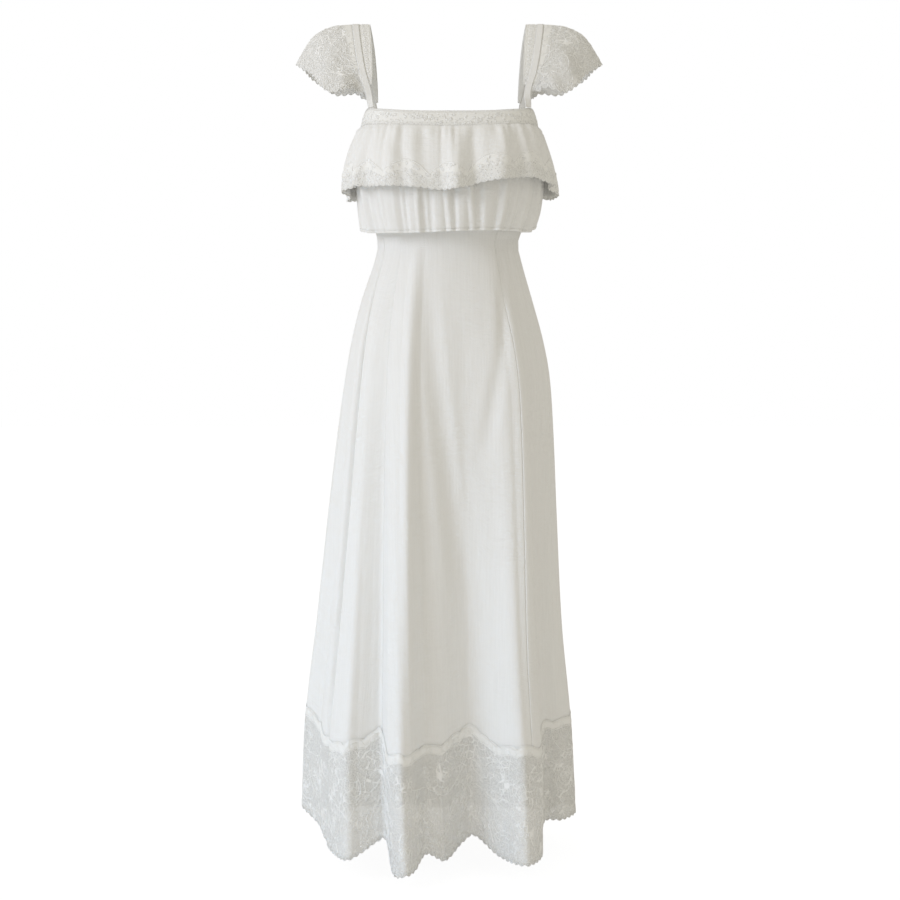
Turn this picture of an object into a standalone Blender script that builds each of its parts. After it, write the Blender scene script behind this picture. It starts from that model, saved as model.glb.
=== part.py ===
"""A long white cotton dress: fitted bodice under two gathered ruffles, princess-seamed flared
skirt, lace hem, narrow shoulder straps and lace cap sleeves, filled out as if worn.

Metres, +Z up. The front faces -Y. Left and right are as seen from the front, so left is -X.
The origin lies midway between the straps, level with the underside of their highest points.
Angles round the body are turns in degrees: 0 at the centre front, +90 at the right side,
180 at the centre back and -90 at the left side.
"""

from math import cos, pi, radians, sin

import bmesh
import bpy
from mathutils import Vector

# Heights
WAIST_Z = -0.355
HEM_Z = -1.395

# Thicknesses and gaps
CLOTH = 0.0012
RUFFLE_CLOTH = 0.0010
LACE = 0.0010
STRAP_CLOTH = 0.0015
SEAM_GAP = 0.0003

# Seams, as turns round the body
PRINCESS_TURN = 40.5
SIDE_TURN = 90.0
BACK_TURN = 180.0
TURN_STEP = 4.5

# Lace at the hem: its height, and how far it overlaps the skirt's cloth
HEM_LACE_HEIGHT = 0.178
HEM_LACE_OVERLAP = 0.016

# Levels of a panel's rows down to the lace: 0 is the top edge, 1 the waist and 2 the hem
PANEL_LEVELS = (0.0, 0.13, 0.38, 0.65, 0.85, 1.0, 1.03, 1.09, 1.18, 1.32, 1.48, 1.64)

# Plain edge above the neck lace
NECK_EDGE = 0.003

# Ruffles: gathers at the top edge merge in pairs into folds at the hem
UPPER_GATHERS = 36
UPPER_FOLDS = 18
UPPER_GATHER_DEPTH = 0.003
UPPER_FOLD_DEPTH = 0.013
UPPER_FLARE = 0.023
UPPER_COLUMNS = 144
UPPER_ROWS = 4
# How far round the upper ruffle's gathers and folds are turned, degrees
UPPER_SHIFT = 5.0
LOWER_FOLDS = 24
LOWER_GATHER_DEPTH = 0.002
LOWER_FOLD_DEPTH = 0.012
LOWER_FLARE = 0.015
LOWER_COLUMNS = 120
LOWER_ROWS = 3
LOWER_LEAN = 0.55
# How far folds stray from an even spacing: waves round the body, degrees
UNEVEN = ((4, 2.2), (6, -1.5))

# Lace edging on the upper ruffle: arches along its top, how far it hangs below the cloth, and
# its gap to the folds that it lies on
ARCHES = 16
ARCH_LOW = 0.020
ARCH_HIGH = 0.040
EDGING_DROP = 0.004
EDGING_GAP = 0.0009

# Straps and what is sewn to them
STRAP_WIDTH = 0.011
STRAP_COLUMNS = 30
STRAP_LIFT = 0.0007
FRONT_STRAP_TURN = 55.0
BACK_STRAP_TURN = 127.0
SLEEVE_START = 0.10
SLEEVE_END = 0.85
STRAP_TOP_X = 0.152
SHOULDER_Z = -0.10
SLEEVE_LIFT = 0.00025
SLEEVE_FULLNESS = 1.6
SLEEVE_DROOP = 0.8
SLEEVE_RIPPLES = 7
SLEEVE_RIPPLE_DEPTH = 0.003
SLEEVE_COLUMNS = 32
SLEEVE_ROWS = 4
STRAP_LACE_START = 0.13
STRAP_LACE_END = 0.87
STRAP_LACE_COLUMNS = 22

# Body sections: half widths to the left and right, depths to the front and back, and how
# square the section is (2 is an ellipse)
SECTIONS = (
    # z, left, right, front, back, squareness
    (-0.130, 0.133, 0.140, 0.106, 0.087, 3.1),
    (-0.170, 0.142, 0.147, 0.114, 0.094, 3.0),
    (-0.235, 0.146, 0.153, 0.124, 0.100, 2.6),
    (-0.300, 0.132, 0.139, 0.110, 0.092, 2.3),
    (-0.355, 0.1165, 0.1165, 0.090, 0.084, 2.1),
    (-0.385, 0.120, 0.121, 0.092, 0.087, 2.1),
    (-0.452, 0.142, 0.140, 0.102, 0.100, 2.1),
    (-0.520, 0.159, 0.159, 0.113, 0.112, 2.1),
    (-0.587, 0.171, 0.172, 0.122, 0.122, 2.1),
    (-0.689, 0.186, 0.180, 0.131, 0.132, 2.1),
    (-0.827, 0.204, 0.187, 0.140, 0.142, 2.1),
    (-1.036, 0.230, 0.199, 0.151, 0.152, 2.1),
    (-1.214, 0.252, 0.217, 0.160, 0.160, 2.1),
    (-1.395, 0.262, 0.228, 0.168, 0.168, 2.1),
)

# Where each fold line of the skirt leaves the waist, and where it ends at the hem
HEM_FOLDS = (
    # turn, x, y, z
    (-176.0, -0.015, 0.140, -1.386),
    (-163.0, -0.072, 0.185, -1.394),
    (-150.0, -0.105, 0.125, -1.384),
    (-137.0, -0.165, 0.165, -1.392),
    (-122.0, -0.190, 0.095, -1.380),
    (-106.0, -0.246, 0.110, -1.368),
    (-90.0, -0.258, 0.045, -1.350),
    (-77.0, -0.222, 0.005, -1.373),
    (-68.0, -0.203, -0.055, -1.390),
    (-60.0, -0.173, -0.113, -1.388),
    (-52.0, -0.145, -0.106, -1.377),
    (-46.0, -0.120, -0.096, -1.362),
    (-41.0, -0.103, -0.096, -1.360),
    (-36.5, -0.091, -0.130, -1.404),
    (-31.0, -0.071, -0.155, -1.400),
    (-26.0, -0.055, -0.135, -1.397),
    (-19.0, -0.038, -0.108, -1.379),
    (-8.0, -0.005, -0.089, -1.397),
    (2.0, 0.024, -0.064, -1.375),
    (9.0, 0.045, -0.056, -1.365),
    (22.0, 0.088, -0.090, -1.390),
    (35.0, 0.130, -0.135, -1.389),
    (46.0, 0.155, -0.095, -1.388),
    (56.0, 0.161, -0.030, -1.374),
    (66.0, 0.170, 0.010, -1.363),
    (78.0, 0.200, 0.020, -1.365),
    (92.0, 0.226, 0.055, -1.364),
    (108.0, 0.213, 0.120, -1.372),
    (124.0, 0.165, 0.100, -1.380),
    (141.0, 0.140, 0.168, -1.392),
    (155.0, 0.085, 0.130, -1.384),
    (168.0, 0.045, 0.185, -1.394),
)
FOLD_GROWTH = 1.1

# Edges that run round the body: the bodice's top, and both ruffles' tops and hems
EDGES = (
    # turn, bodice top, upper top, upper hem, lower top, lower hem
    (-180.0, -0.160, -0.183, -0.274, -0.228, -0.336),
    (-132.0, -0.162, -0.183, -0.278, -0.228, -0.336),
    (-116.0, -0.163, -0.183, -0.281, -0.228, -0.336),
    (-92.0, -0.172, -0.181, -0.284, -0.228, -0.337),
    (-62.0, -0.1425, -0.168, -0.266, -0.225, -0.342),
    (-45.0, -0.1455, -0.169, -0.267, -0.225, -0.343),
    (-25.0, -0.1500, -0.172, -0.268, -0.225, -0.343),
    (0.0, -0.1510, -0.174, -0.274, -0.225, -0.341),
    (25.0, -0.1500, -0.172, -0.259, -0.225, -0.339),
    (45.0, -0.1455, -0.169, -0.253, -0.225, -0.339),
    (62.0, -0.1425, -0.168, -0.262, -0.225, -0.341),
    (92.0, -0.172, -0.181, -0.281, -0.228, -0.330),
    (116.0, -0.163, -0.183, -0.279, -0.228, -0.333),
    (132.0, -0.162, -0.183, -0.276, -0.228, -0.334),
)
BODICE_TOP, UPPER_TOP, UPPER_HEM, LOWER_TOP, LOWER_HEM = 1, 2, 3, 4, 5

# The right strap's middle line between its two ends, the back rising like the front
STRAP_PATH = (
    # share of the way, x, y, z
    (0.10, 0.1290, -0.0680, -0.115),
    (0.23, 0.1390, -0.0640, -0.080),
    (0.36, 0.1470, -0.0430, -0.035),
    (0.50, STRAP_TOP_X, 0.0000, 0.000),
    (0.64, 0.1460, 0.0440, -0.035),
    (0.77, 0.1370, 0.0660, -0.085),
    (0.90, 0.1260, 0.0720, -0.130),
)

# Width of the lace along each strap's inner edge
STRAP_LACE = (
    # share of the way, width
    (0.00, 0.003),
    (0.12, 0.011),
    (0.30, 0.017),
    (0.50, 0.018),
    (0.70, 0.017),
    (0.88, 0.011),
    (1.00, 0.003),
)

# The right cap sleeve's free edge
SLEEVE_EDGE = (
    # share of the way, x, y, z
    (0.00, 0.1470, -0.068, -0.118),
    (0.12, 0.1600, -0.080, -0.113),
    (0.25, 0.1890, -0.082, -0.121),
    (0.33, 0.2070, -0.066, -0.106),
    (0.42, 0.2290, -0.036, -0.083),
    (0.50, 0.2510, 0.000, -0.066),
    (0.58, 0.2330, 0.036, -0.080),
    (0.67, 0.2110, 0.066, -0.096),
    (0.76, 0.1890, 0.082, -0.106),
    (0.88, 0.1580, 0.082, -0.104),
    (1.00, 0.1470, 0.072, -0.112),
)
SLEEVE_REACH_LEFT = 1.0
SLEEVE_REACH_RIGHT = 1.04

# Colours, roughness
COTTON_COLOUR = (0.88, 0.88, 0.86)
COTTON_ROUGHNESS = 0.8
LACE_COLOUR = (0.80, 0.80, 0.79)
LACE_ROUGHNESS = 0.75


def along(rows, column, at, period=None):
    """The value of one column of a table, on a smooth curve through its rows."""
    keys = [row[0] for row in rows]
    values = [row[column] for row in rows]
    if period:
        at = (at - keys[0]) % period + keys[0]
        keys = [keys[-1] - period] + keys + [keys[0] + period, keys[1] + period]
        values = [values[-1]] + values + [values[0], values[1]]
    if keys[0] > keys[-1]:
        keys = keys[::-1]
        values = values[::-1]
    at = min(max(at, keys[0]), keys[-1])
    i = max(k for k in range(len(keys) - 1) if keys[k] <= at)
    span = keys[i + 1] - keys[i]
    rise = (values[i + 1] - values[i]) / span
    before = after = rise
    if i > 0:
        before = (values[i + 1] - values[i - 1]) / (keys[i + 1] - keys[i - 1])
    if i < len(keys) - 2:
        after = (values[i + 2] - values[i]) / (keys[i + 2] - keys[i])
    x = (at - keys[i]) / span
    return (
        (1 + 2 * x) * (1 - x) ** 2 * values[i]
        + x * (1 - x) ** 2 * before * span
        + (3 - 2 * x) * x * x * values[i + 1]
        - x * x * (1 - x) * after * span
    )


def mix(low, high, share):
    return low + (high - low) * share


def edge_z(turn, edge):
    return along(EDGES, edge, turn, period=360.0)


def section_point(turn, z):
    """A point of the body's section at this height, with no folds."""
    left, right, front, back, square = (along(SECTIONS, k, z) for k in range(1, 6))
    across = sin(radians(turn))
    ahead = cos(radians(turn))
    reach = (abs(across) ** square + abs(ahead) ** square) ** (-1 / square)
    width = right if across > 0 else left
    depth = front if ahead > 0 else back
    return Vector((width * reach * across, -depth * reach * ahead, z))


def outward(turn, z):
    """The level direction that points straight out of the section."""
    step = section_point(turn + 0.5, z) - section_point(turn - 0.5, z)
    return Vector((-step.y, step.x, 0.0)).normalized() * -1.0


def skirt_point(turn, share):
    """A point of the skirt, share of the way from the waist to the hem."""
    start = section_point(turn, mix(WAIST_Z, HEM_Z, share))
    plain = section_point(turn, HEM_Z)
    end = Vector([along(HEM_FOLDS, k, turn, period=360.0) for k in (1, 2, 3)])
    point = start + (end - plain) * share**FOLD_GROWTH
    point.z = mix(WAIST_Z, end.z, share)
    return point


def dress_point(turn, level):
    """A point of the dress: level 0 is its top edge, 1 the waist and 2 the hem."""
    if level > 1:
        return skirt_point(turn, level - 1)
    return section_point(turn, mix(edge_z(turn, BODICE_TOP), WAIST_Z, level))


def level_above_hem(turn, height):
    """The level that lies this far above the hem."""
    hem = along(HEM_FOLDS, 3, turn, period=360.0)
    return 2 - height / (WAIST_Z - hem)


def seamed(surface, s, t):
    """Moves a piece's two side edges in by half a seam's gap."""
    if 0 < s < 1:
        return s
    step = 1e-3 if s == 0 else -1e-3
    travel = (surface(s + step, t) - surface(s, t)).length
    return s + step * SEAM_GAP / 2 / travel


def normal_of(surface, s, t):
    step = 1e-3
    s0, s1 = max(s - step, 0), min(s + step, 1)
    t0, t1 = max(t - step, 0), min(t + step, 1)
    along_s = surface(s1, t) - surface(s0, t)
    along_t = surface(s, t1) - surface(s, t0)
    return along_t.cross(along_s).normalized()


def cloth_wall(name, surface, columns, rows, thickness, lift, material):
    """A closed wall of cloth: a flat grid, extruded to a sheet, then bent onto the surface.

    The surface gives a point for shares s and t of the way across and down. The wall's
    inner side lies lift outside it.
    """
    mesh = bmesh.new()
    bmesh.ops.create_grid(mesh, x_segments=columns, y_segments=len(rows) - 1, size=0.5)
    bmesh.ops.triangulate(mesh, faces=mesh.faces[:], quad_method="FIXED")
    sheet = bmesh.ops.extrude_face_region(mesh, geom=mesh.faces[:], use_keep_orig=True)
    for item in sheet["geom"]:
        if isinstance(item, bmesh.types.BMVert):
            item.co.z = 1.0
    bmesh.ops.recalc_face_normals(mesh, faces=mesh.faces[:])
    for vert in mesh.verts:
        s = round((vert.co.x + 0.5) * columns) / columns
        t = rows[round((vert.co.y + 0.5) * (len(rows) - 1))]
        inner = seamed(surface, s, t)
        normal = normal_of(surface, inner, t)
        vert.co = surface(inner, t) + normal * (lift + thickness * vert.co.z)
    if mesh.calc_volume(signed=True) < 0:
        bmesh.ops.reverse_faces(mesh, faces=mesh.faces[:])
    data = bpy.data.meshes.new(name)
    mesh.to_mesh(data)
    mesh.free()
    data.shade_smooth()
    data.materials.append(material)
    piece = bpy.data.objects.new(name, data)
    bpy.context.scene.collection.objects.link(piece)
    return piece


def even(count):
    return [k / count for k in range(count + 1)]


def fabric(name, colour, roughness):
    material = bpy.data.materials.new(name)
    material.use_nodes = True
    shader = material.node_tree.nodes["Principled BSDF"]
    shader.inputs["Base Color"].default_value = (*colour, 1.0)
    shader.inputs["Roughness"].default_value = roughness
    shader.inputs["Metallic"].default_value = 0.0
    return material


def stepped(values, t):
    """Runs evenly through a short list of values as t goes from 0 to 1."""
    place = t * (len(values) - 1)
    k = min(int(place), len(values) - 2)
    return mix(values[k], values[k + 1], place - k)


def make_panel(name, turn_from, turn_to, material):
    """One gore of bodice and skirt in a single length, from the top edge to the lace."""

    def surface(s, t):
        turn = mix(turn_from, turn_to, s)
        lace_top = level_above_hem(turn, HEM_LACE_HEIGHT)
        cloth_edge = level_above_hem(turn, HEM_LACE_HEIGHT - HEM_LACE_OVERLAP)
        return dress_point(turn, stepped((*PANEL_LEVELS, lace_top, cloth_edge), t))

    columns = round((turn_to - turn_from) / TURN_STEP)
    rows = even(len(PANEL_LEVELS) + 1)
    return cloth_wall(name, surface, columns, rows, CLOTH, 0.0, material)


def make_hem_lace(name, turn_from, turn_to, material):
    """Lace at the hem, its top edge lapped over the skirt's cloth."""
    cloth_edge = HEM_LACE_HEIGHT - HEM_LACE_OVERLAP
    heights = (HEM_LACE_HEIGHT, cloth_edge, cloth_edge / 2, 0.0)

    def surface(s, t):
        turn = mix(turn_from, turn_to, s)
        return dress_point(turn, level_above_hem(turn, stepped(heights, t)))

    columns = round((turn_to - turn_from) / TURN_STEP)
    rows = even(len(heights) - 1)
    return cloth_wall(name, surface, columns, rows, LACE, CLOTH + SEAM_GAP, material)


def make_neck_lace(name, turn_from, turn_to, material):
    """The lace band that lies on the bodice between its edge and the upper ruffle."""

    def surface(s, t):
        turn = mix(turn_from, turn_to, s)
        top = edge_z(turn, BODICE_TOP) - NECK_EDGE
        bottom = edge_z(turn, UPPER_TOP) + SEAM_GAP
        return section_point(turn, mix(top, bottom, t))

    columns = round((turn_to - turn_from) / TURN_STEP)
    return cloth_wall(name, surface, columns, even(1), LACE, CLOTH + SEAM_GAP, material)


def uneven(turn):
    """Shifts a turn a little, so that gathers and folds aren't all of one width."""
    return turn + sum(degrees * sin(radians(waves * turn)) for waves, degrees in UNEVEN)


def upper_point(turn, share):
    """A point of the upper ruffle. Its troughs rest on the bodice at the top."""
    place = uneven(turn)
    z = mix(edge_z(place, UPPER_TOP), edge_z(place, UPPER_HEM), share)
    shifted = radians(turn + UPPER_SHIFT)
    gather = 0.5 - 0.5 * cos(shifted * UPPER_GATHERS)
    fold = 0.5 - 0.5 * cos(shifted * UPPER_FOLDS)
    size = 0.8 + 0.2 * sin(radians(5 * turn + 40))
    out = UPPER_GATHER_DEPTH * gather * (1 - share)
    out += UPPER_FOLD_DEPTH * fold * share * size + UPPER_FLARE * share
    return section_point(place, z) + outward(place, z) * (CLOTH + SEAM_GAP + out)


def lower_point(turn, share):
    """A point of the lower ruffle, whose folds lean over like loose pleats."""
    place = uneven(turn)
    z = mix(edge_z(place, LOWER_TOP), edge_z(place, LOWER_HEM), share)
    phase = radians(turn * LOWER_FOLDS)
    fold = 0.5 - 0.5 * cos(phase + LOWER_LEAN * sin(phase))
    size = 0.8 + 0.2 * sin(radians(7 * turn + 10))
    out = mix(LOWER_GATHER_DEPTH, LOWER_FOLD_DEPTH * size, share) * fold
    out += LOWER_FLARE * share
    return section_point(place, z) + outward(place, z) * (CLOTH + SEAM_GAP + out)


def make_upper_ruffle(name, turn_from, turn_to, material):
    def surface(s, t):
        return upper_point(mix(turn_from, turn_to, s), t)

    columns = UPPER_COLUMNS // 2
    return cloth_wall(name, surface, columns, even(UPPER_ROWS), RUFFLE_CLOTH, 0.0, material)


def make_lower_ruffle(name, turn_from, turn_to, material):
    def surface(s, t):
        return lower_point(mix(turn_from, turn_to, s), t)

    columns = LOWER_COLUMNS // 2
    return cloth_wall(name, surface, columns, even(LOWER_ROWS), RUFFLE_CLOTH, 0.0, material)


def make_ruffle_lace(name, turn_from, turn_to, material):
    """Lace edging on the upper ruffle, with arches along its top edge."""

    def surface(s, t):
        turn = mix(turn_from, turn_to, s)
        place = uneven(turn)
        drop = edge_z(place, UPPER_TOP) - edge_z(place, UPPER_HEM)
        arch = abs(cos(radians(turn * ARCHES / 2)))
        top = 1 - mix(ARCH_LOW, ARCH_HIGH, arch) / drop
        return upper_point(turn, mix(top, 1 + EDGING_DROP / drop, t))

    lift = RUFFLE_CLOTH + EDGING_GAP
    return cloth_wall(name, surface, UPPER_COLUMNS // 2, even(2), LACE, lift, material)


def top_edge(turn):
    """A point of the bodice's top edge."""
    return section_point(turn, edge_z(turn, BODICE_TOP))


def strap_line(side, share):
    """The middle line of a strap, from its front end to its back end."""
    lift = Vector((0, 0, STRAP_LIFT))
    rows = [(0.0, *(top_edge(side * FRONT_STRAP_TURN) + lift))]
    rows += [(share_on, side * x, y, z) for share_on, x, y, z in STRAP_PATH]
    rows += [(1.0, *(top_edge(side * BACK_STRAP_TURN) + lift))]
    return Vector([along(rows, k, share) for k in (1, 2, 3)])


def strap_across(side, share):
    """The strap's width direction, outwards: half turned to the bodice's edge at its ends."""
    turn = FRONT_STRAP_TURN if share < 0.5 else BACK_STRAP_TURN
    edge = (top_edge(side * (turn + 1)) - top_edge(side * (turn - 1))).normalized()
    if share > 0.5:
        edge.negate()
    lean = mix(0.5, 1.0, 0.5 - 0.5 * cos(pi * min(1.0, 10 * min(share, 1 - share))))
    step = 1e-3
    ahead = strap_line(side, min(share + step, 1)) - strap_line(side, max(share - step, 0))
    level = edge.lerp(Vector((side, 0, 0)), lean)
    level -= ahead * level.dot(ahead) / ahead.dot(ahead) * lean
    return level.normalized()


def strap_point(side, share, offset):
    """A point this far out from the strap's middle line, in the strap's own plane."""
    return strap_line(side, share) + strap_across(side, share) * offset


def sided(surface, side):
    """Runs a surface the other way across on the left, so that its outside stays outside."""
    return surface if side > 0 else lambda s, t: surface(1 - s, t)


def make_strap(name, side, material):
    def surface(s, t):
        return strap_point(side, s, mix(-0.5, 0.5, t) * STRAP_WIDTH)

    band = sided(surface, side)
    return cloth_wall(name, band, STRAP_COLUMNS, even(1), STRAP_CLOTH, 0.0, material)


def make_strap_lace(name, side, material):
    """A lace strip along the strap's inner edge, widest over the collarbone."""

    def surface(s, t):
        share = mix(STRAP_LACE_START, STRAP_LACE_END, s)
        inner = -STRAP_WIDTH / 2 - SEAM_GAP - along(STRAP_LACE, 1, s)
        return strap_point(side, share, mix(inner, -STRAP_WIDTH / 2 - SEAM_GAP, t))

    strip = sided(surface, side)
    return cloth_wall(name, strip, STRAP_LACE_COLUMNS, even(1), LACE, 0.0, material)


def make_sleeve(name, side, reach, material):
    """A lace cap sleeve: it leaves the strap level, then droops to its free edge."""
    shoulder = Vector((side * STRAP_TOP_X, 0, SHOULDER_Z))

    def surface(s, t):
        share = mix(SLEEVE_START, SLEEVE_END, s)
        seam = strap_point(side, share, STRAP_WIDTH / 2 + SEAM_GAP)
        edge = Vector([along(SLEEVE_EDGE, k, s) for k in (1, 2, 3)])
        edge.x = side * mix(STRAP_TOP_X, edge.x, reach)
        span = (edge - seam).length
        leaving = strap_across(side, share) * span * SLEEVE_FULLNESS
        falling = (edge - seam - Vector((0, 0, span))) * SLEEVE_DROOP
        point = seam.lerp(edge, (3 - 2 * t) * t * t)
        point += leaving * (t * (1 - t) ** 2) - falling * (t * t * (1 - t))
        ripple = SLEEVE_RIPPLE_DEPTH * sin(2 * pi * SLEEVE_RIPPLES * s) * sin(pi * s) * t
        return point + (point - shoulder).normalized() * ripple

    cap = sided(surface, side)
    rows = even(SLEEVE_ROWS)
    return cloth_wall(name, cap, SLEEVE_COLUMNS, rows, LACE, SLEEVE_LIFT, material)


def clear_scene():
    for item in list(bpy.data.objects):
        bpy.data.objects.remove(item, do_unlink=True)


def make_dress():
    cotton = fabric("white_cotton", COTTON_COLOUR, COTTON_ROUGHNESS)
    lace = fabric("white_lace", LACE_COLOUR, LACE_ROUGHNESS)
    make_panel("front_center", -PRINCESS_TURN, PRINCESS_TURN, cotton)
    make_panel("front_side_left", -SIDE_TURN, -PRINCESS_TURN, cotton)
    make_panel("front_side_right", PRINCESS_TURN, SIDE_TURN, cotton)
    make_panel("back_left", -BACK_TURN, -SIDE_TURN, cotton)
    make_panel("back_right", SIDE_TURN, BACK_TURN, cotton)
    halves = (("front", -SIDE_TURN), ("back", SIDE_TURN))
    for half, start in halves:
        end = start + 180.0
        make_hem_lace(f"hem_lace_{half}", start, end, lace)
        make_neck_lace(f"neck_lace_{half}", start, end, lace)
        make_ruffle_lace(f"ruffle_lace_{half}", start, end, lace)
        make_upper_ruffle(f"ruffle_upper_{half}", start, end, cotton)
        make_lower_ruffle(f"ruffle_lower_{half}", start, end, cotton)
    sides = (("left", -1, SLEEVE_REACH_LEFT), ("right", 1, SLEEVE_REACH_RIGHT))
    for word, side, reach in sides:
        make_strap(f"strap_{word}", side, cotton)
        make_strap_lace(f"strap_lace_{word}", side, lace)
        make_sleeve(f"sleeve_{word}", side, reach, lace)


clear_scene()
make_dress()
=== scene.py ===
"""A long white cotton slip dress, filled out as if worn, hanging in a pale studio.

Metres, +Z up. The front faces -Y. Left and right are as seen from the front, so left is -X.
Angles round the body are turns in degrees: 0 at the centre front, +90 at the right side.
"""

from functools import lru_cache
from math import cos, pi, radians, sin
from random import Random

import bmesh
import bpy
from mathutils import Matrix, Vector


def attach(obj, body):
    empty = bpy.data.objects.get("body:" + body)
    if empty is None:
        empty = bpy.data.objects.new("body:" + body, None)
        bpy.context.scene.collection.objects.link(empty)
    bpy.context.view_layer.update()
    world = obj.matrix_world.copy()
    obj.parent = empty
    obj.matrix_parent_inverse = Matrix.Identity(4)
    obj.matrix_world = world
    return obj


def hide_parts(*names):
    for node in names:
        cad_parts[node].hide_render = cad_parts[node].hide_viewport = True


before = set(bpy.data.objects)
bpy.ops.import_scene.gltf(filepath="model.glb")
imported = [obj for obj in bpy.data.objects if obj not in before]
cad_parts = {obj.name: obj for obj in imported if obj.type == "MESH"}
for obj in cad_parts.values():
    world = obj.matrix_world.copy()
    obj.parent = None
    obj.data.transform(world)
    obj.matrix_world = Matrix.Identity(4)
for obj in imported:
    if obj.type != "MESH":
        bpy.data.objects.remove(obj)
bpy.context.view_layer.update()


# Body panels
# Five gores of crisp white cotton crepe, each cut in one length from the neck edge down to the
# lace. Princess, side and centre back seams join them, shaped in at the waist and flared below,
# and the skirt falls in soft folds that deepen towards the hem.

WAIST_Z = -0.355
HEM_Z = -1.395
SOLID_CLOTH = 0.0012
COTTON_THICKNESS = 0.0006
SEAM_GAP = 0.0003
PRINCESS_TURN = 40.5
SIDE_TURN = 90.0
BACK_TURN = 180.0
FOLD_GROWTH = 1.1
HEM_LACE_HEIGHT = 0.184
HEM_LACE_OVERLAP = 0.016
# How much further up the lace reaches on each fold: the flounce is cut straight and the skirt
# isn't, so the ridges take more of it
LACE_RISES = (
    # turn, rise
    (-120.0, 0.008),
    (-90.0, 0.008),
    (-72.0, 0.010),
    (-58.0, 0.020),
    (-46.0, 0.010),
    (-33.0, 0.026),
    (-19.0, 0.010),
    (-8.0, 0.026),
    (9.0, 0.018),
    (22.0, 0.018),
    (37.0, 0.022),
    (56.0, 0.004),
    (90.0, 0.006),
    (120.0, 0.008),
)
PANEL_ROWS = 90
SEAM_DIP = 0.00015
SEAM_DIP_TURN = 1.2

# Body sections: half widths to the left and right, depths to the front and back, and how
# square the section is (2 is an ellipse)
SECTIONS = (
    # z, left, right, front, back, squareness
    (-0.130, 0.133, 0.140, 0.106, 0.087, 3.1),
    (-0.170, 0.142, 0.147, 0.114, 0.094, 3.0),
    (-0.235, 0.146, 0.153, 0.124, 0.100, 2.6),
    (-0.300, 0.132, 0.139, 0.110, 0.092, 2.3),
    (-0.355, 0.1165, 0.1165, 0.090, 0.084, 2.1),
    (-0.385, 0.120, 0.121, 0.092, 0.087, 2.1),
    (-0.452, 0.142, 0.140, 0.102, 0.100, 2.1),
    (-0.520, 0.159, 0.159, 0.113, 0.112, 2.1),
    (-0.587, 0.171, 0.172, 0.122, 0.122, 2.1),
    (-0.689, 0.186, 0.180, 0.131, 0.132, 2.1),
    (-0.827, 0.204, 0.187, 0.140, 0.142, 2.1),
    (-1.036, 0.230, 0.199, 0.151, 0.152, 2.1),
    (-1.214, 0.252, 0.217, 0.160, 0.160, 2.1),
    (-1.395, 0.262, 0.228, 0.168, 0.168, 2.1),
)

# Where each fold line of the skirt leaves the waist, and where it ends at the hem
HEM_FOLDS = (
    # turn, x, y, z
    (-176.0, -0.015, 0.140, -1.386),
    (-163.0, -0.072, 0.185, -1.394),
    (-150.0, -0.105, 0.125, -1.384),
    (-137.0, -0.165, 0.165, -1.392),
    (-122.0, -0.190, 0.095, -1.380),
    (-106.0, -0.246, 0.110, -1.368),
    (-90.0, -0.258, 0.045, -1.350),
    (-77.0, -0.222, 0.005, -1.373),
    (-68.0, -0.203, -0.055, -1.390),
    (-60.0, -0.173, -0.113, -1.388),
    (-52.0, -0.145, -0.106, -1.377),
    (-46.0, -0.120, -0.096, -1.362),
    (-41.0, -0.103, -0.096, -1.360),
    (-36.5, -0.091, -0.130, -1.404),
    (-31.0, -0.071, -0.155, -1.400),
    (-26.0, -0.055, -0.135, -1.397),
    (-19.0, -0.038, -0.108, -1.379),
    (-8.0, -0.005, -0.089, -1.397),
    (2.0, 0.024, -0.064, -1.375),
    (9.0, 0.045, -0.056, -1.365),
    (22.0, 0.088, -0.090, -1.390),
    (35.0, 0.130, -0.135, -1.389),
    (46.0, 0.155, -0.095, -1.388),
    (56.0, 0.161, -0.030, -1.374),
    (66.0, 0.170, 0.010, -1.363),
    (78.0, 0.200, 0.020, -1.365),
    (92.0, 0.226, 0.055, -1.364),
    (108.0, 0.213, 0.120, -1.372),
    (124.0, 0.165, 0.100, -1.380),
    (141.0, 0.140, 0.168, -1.392),
    (155.0, 0.085, 0.130, -1.384),
    (168.0, 0.045, 0.185, -1.394),
)

# Edges that run round the body: the bodice's top, and both ruffles' tops and hems
EDGES = (
    # turn, bodice top, upper top, upper hem, lower top, lower hem
    (-180.0, -0.160, -0.183, -0.274, -0.228, -0.336),
    (-132.0, -0.162, -0.183, -0.278, -0.228, -0.336),
    (-116.0, -0.163, -0.183, -0.281, -0.228, -0.336),
    (-92.0, -0.172, -0.181, -0.284, -0.228, -0.337),
    (-62.0, -0.1425, -0.168, -0.266, -0.225, -0.342),
    (-45.0, -0.1455, -0.169, -0.267, -0.225, -0.343),
    (-25.0, -0.1500, -0.172, -0.268, -0.225, -0.343),
    (0.0, -0.1510, -0.174, -0.274, -0.225, -0.341),
    (25.0, -0.1500, -0.172, -0.259, -0.225, -0.339),
    (45.0, -0.1455, -0.169, -0.253, -0.225, -0.339),
    (62.0, -0.1425, -0.168, -0.262, -0.225, -0.341),
    (92.0, -0.172, -0.181, -0.281, -0.228, -0.330),
    (116.0, -0.163, -0.183, -0.279, -0.228, -0.333),
    (132.0, -0.162, -0.183, -0.276, -0.228, -0.334),
)
BODICE_TOP, UPPER_TOP, UPPER_HEM, LOWER_TOP, LOWER_HEM = 1, 2, 3, 4, 5

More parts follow.
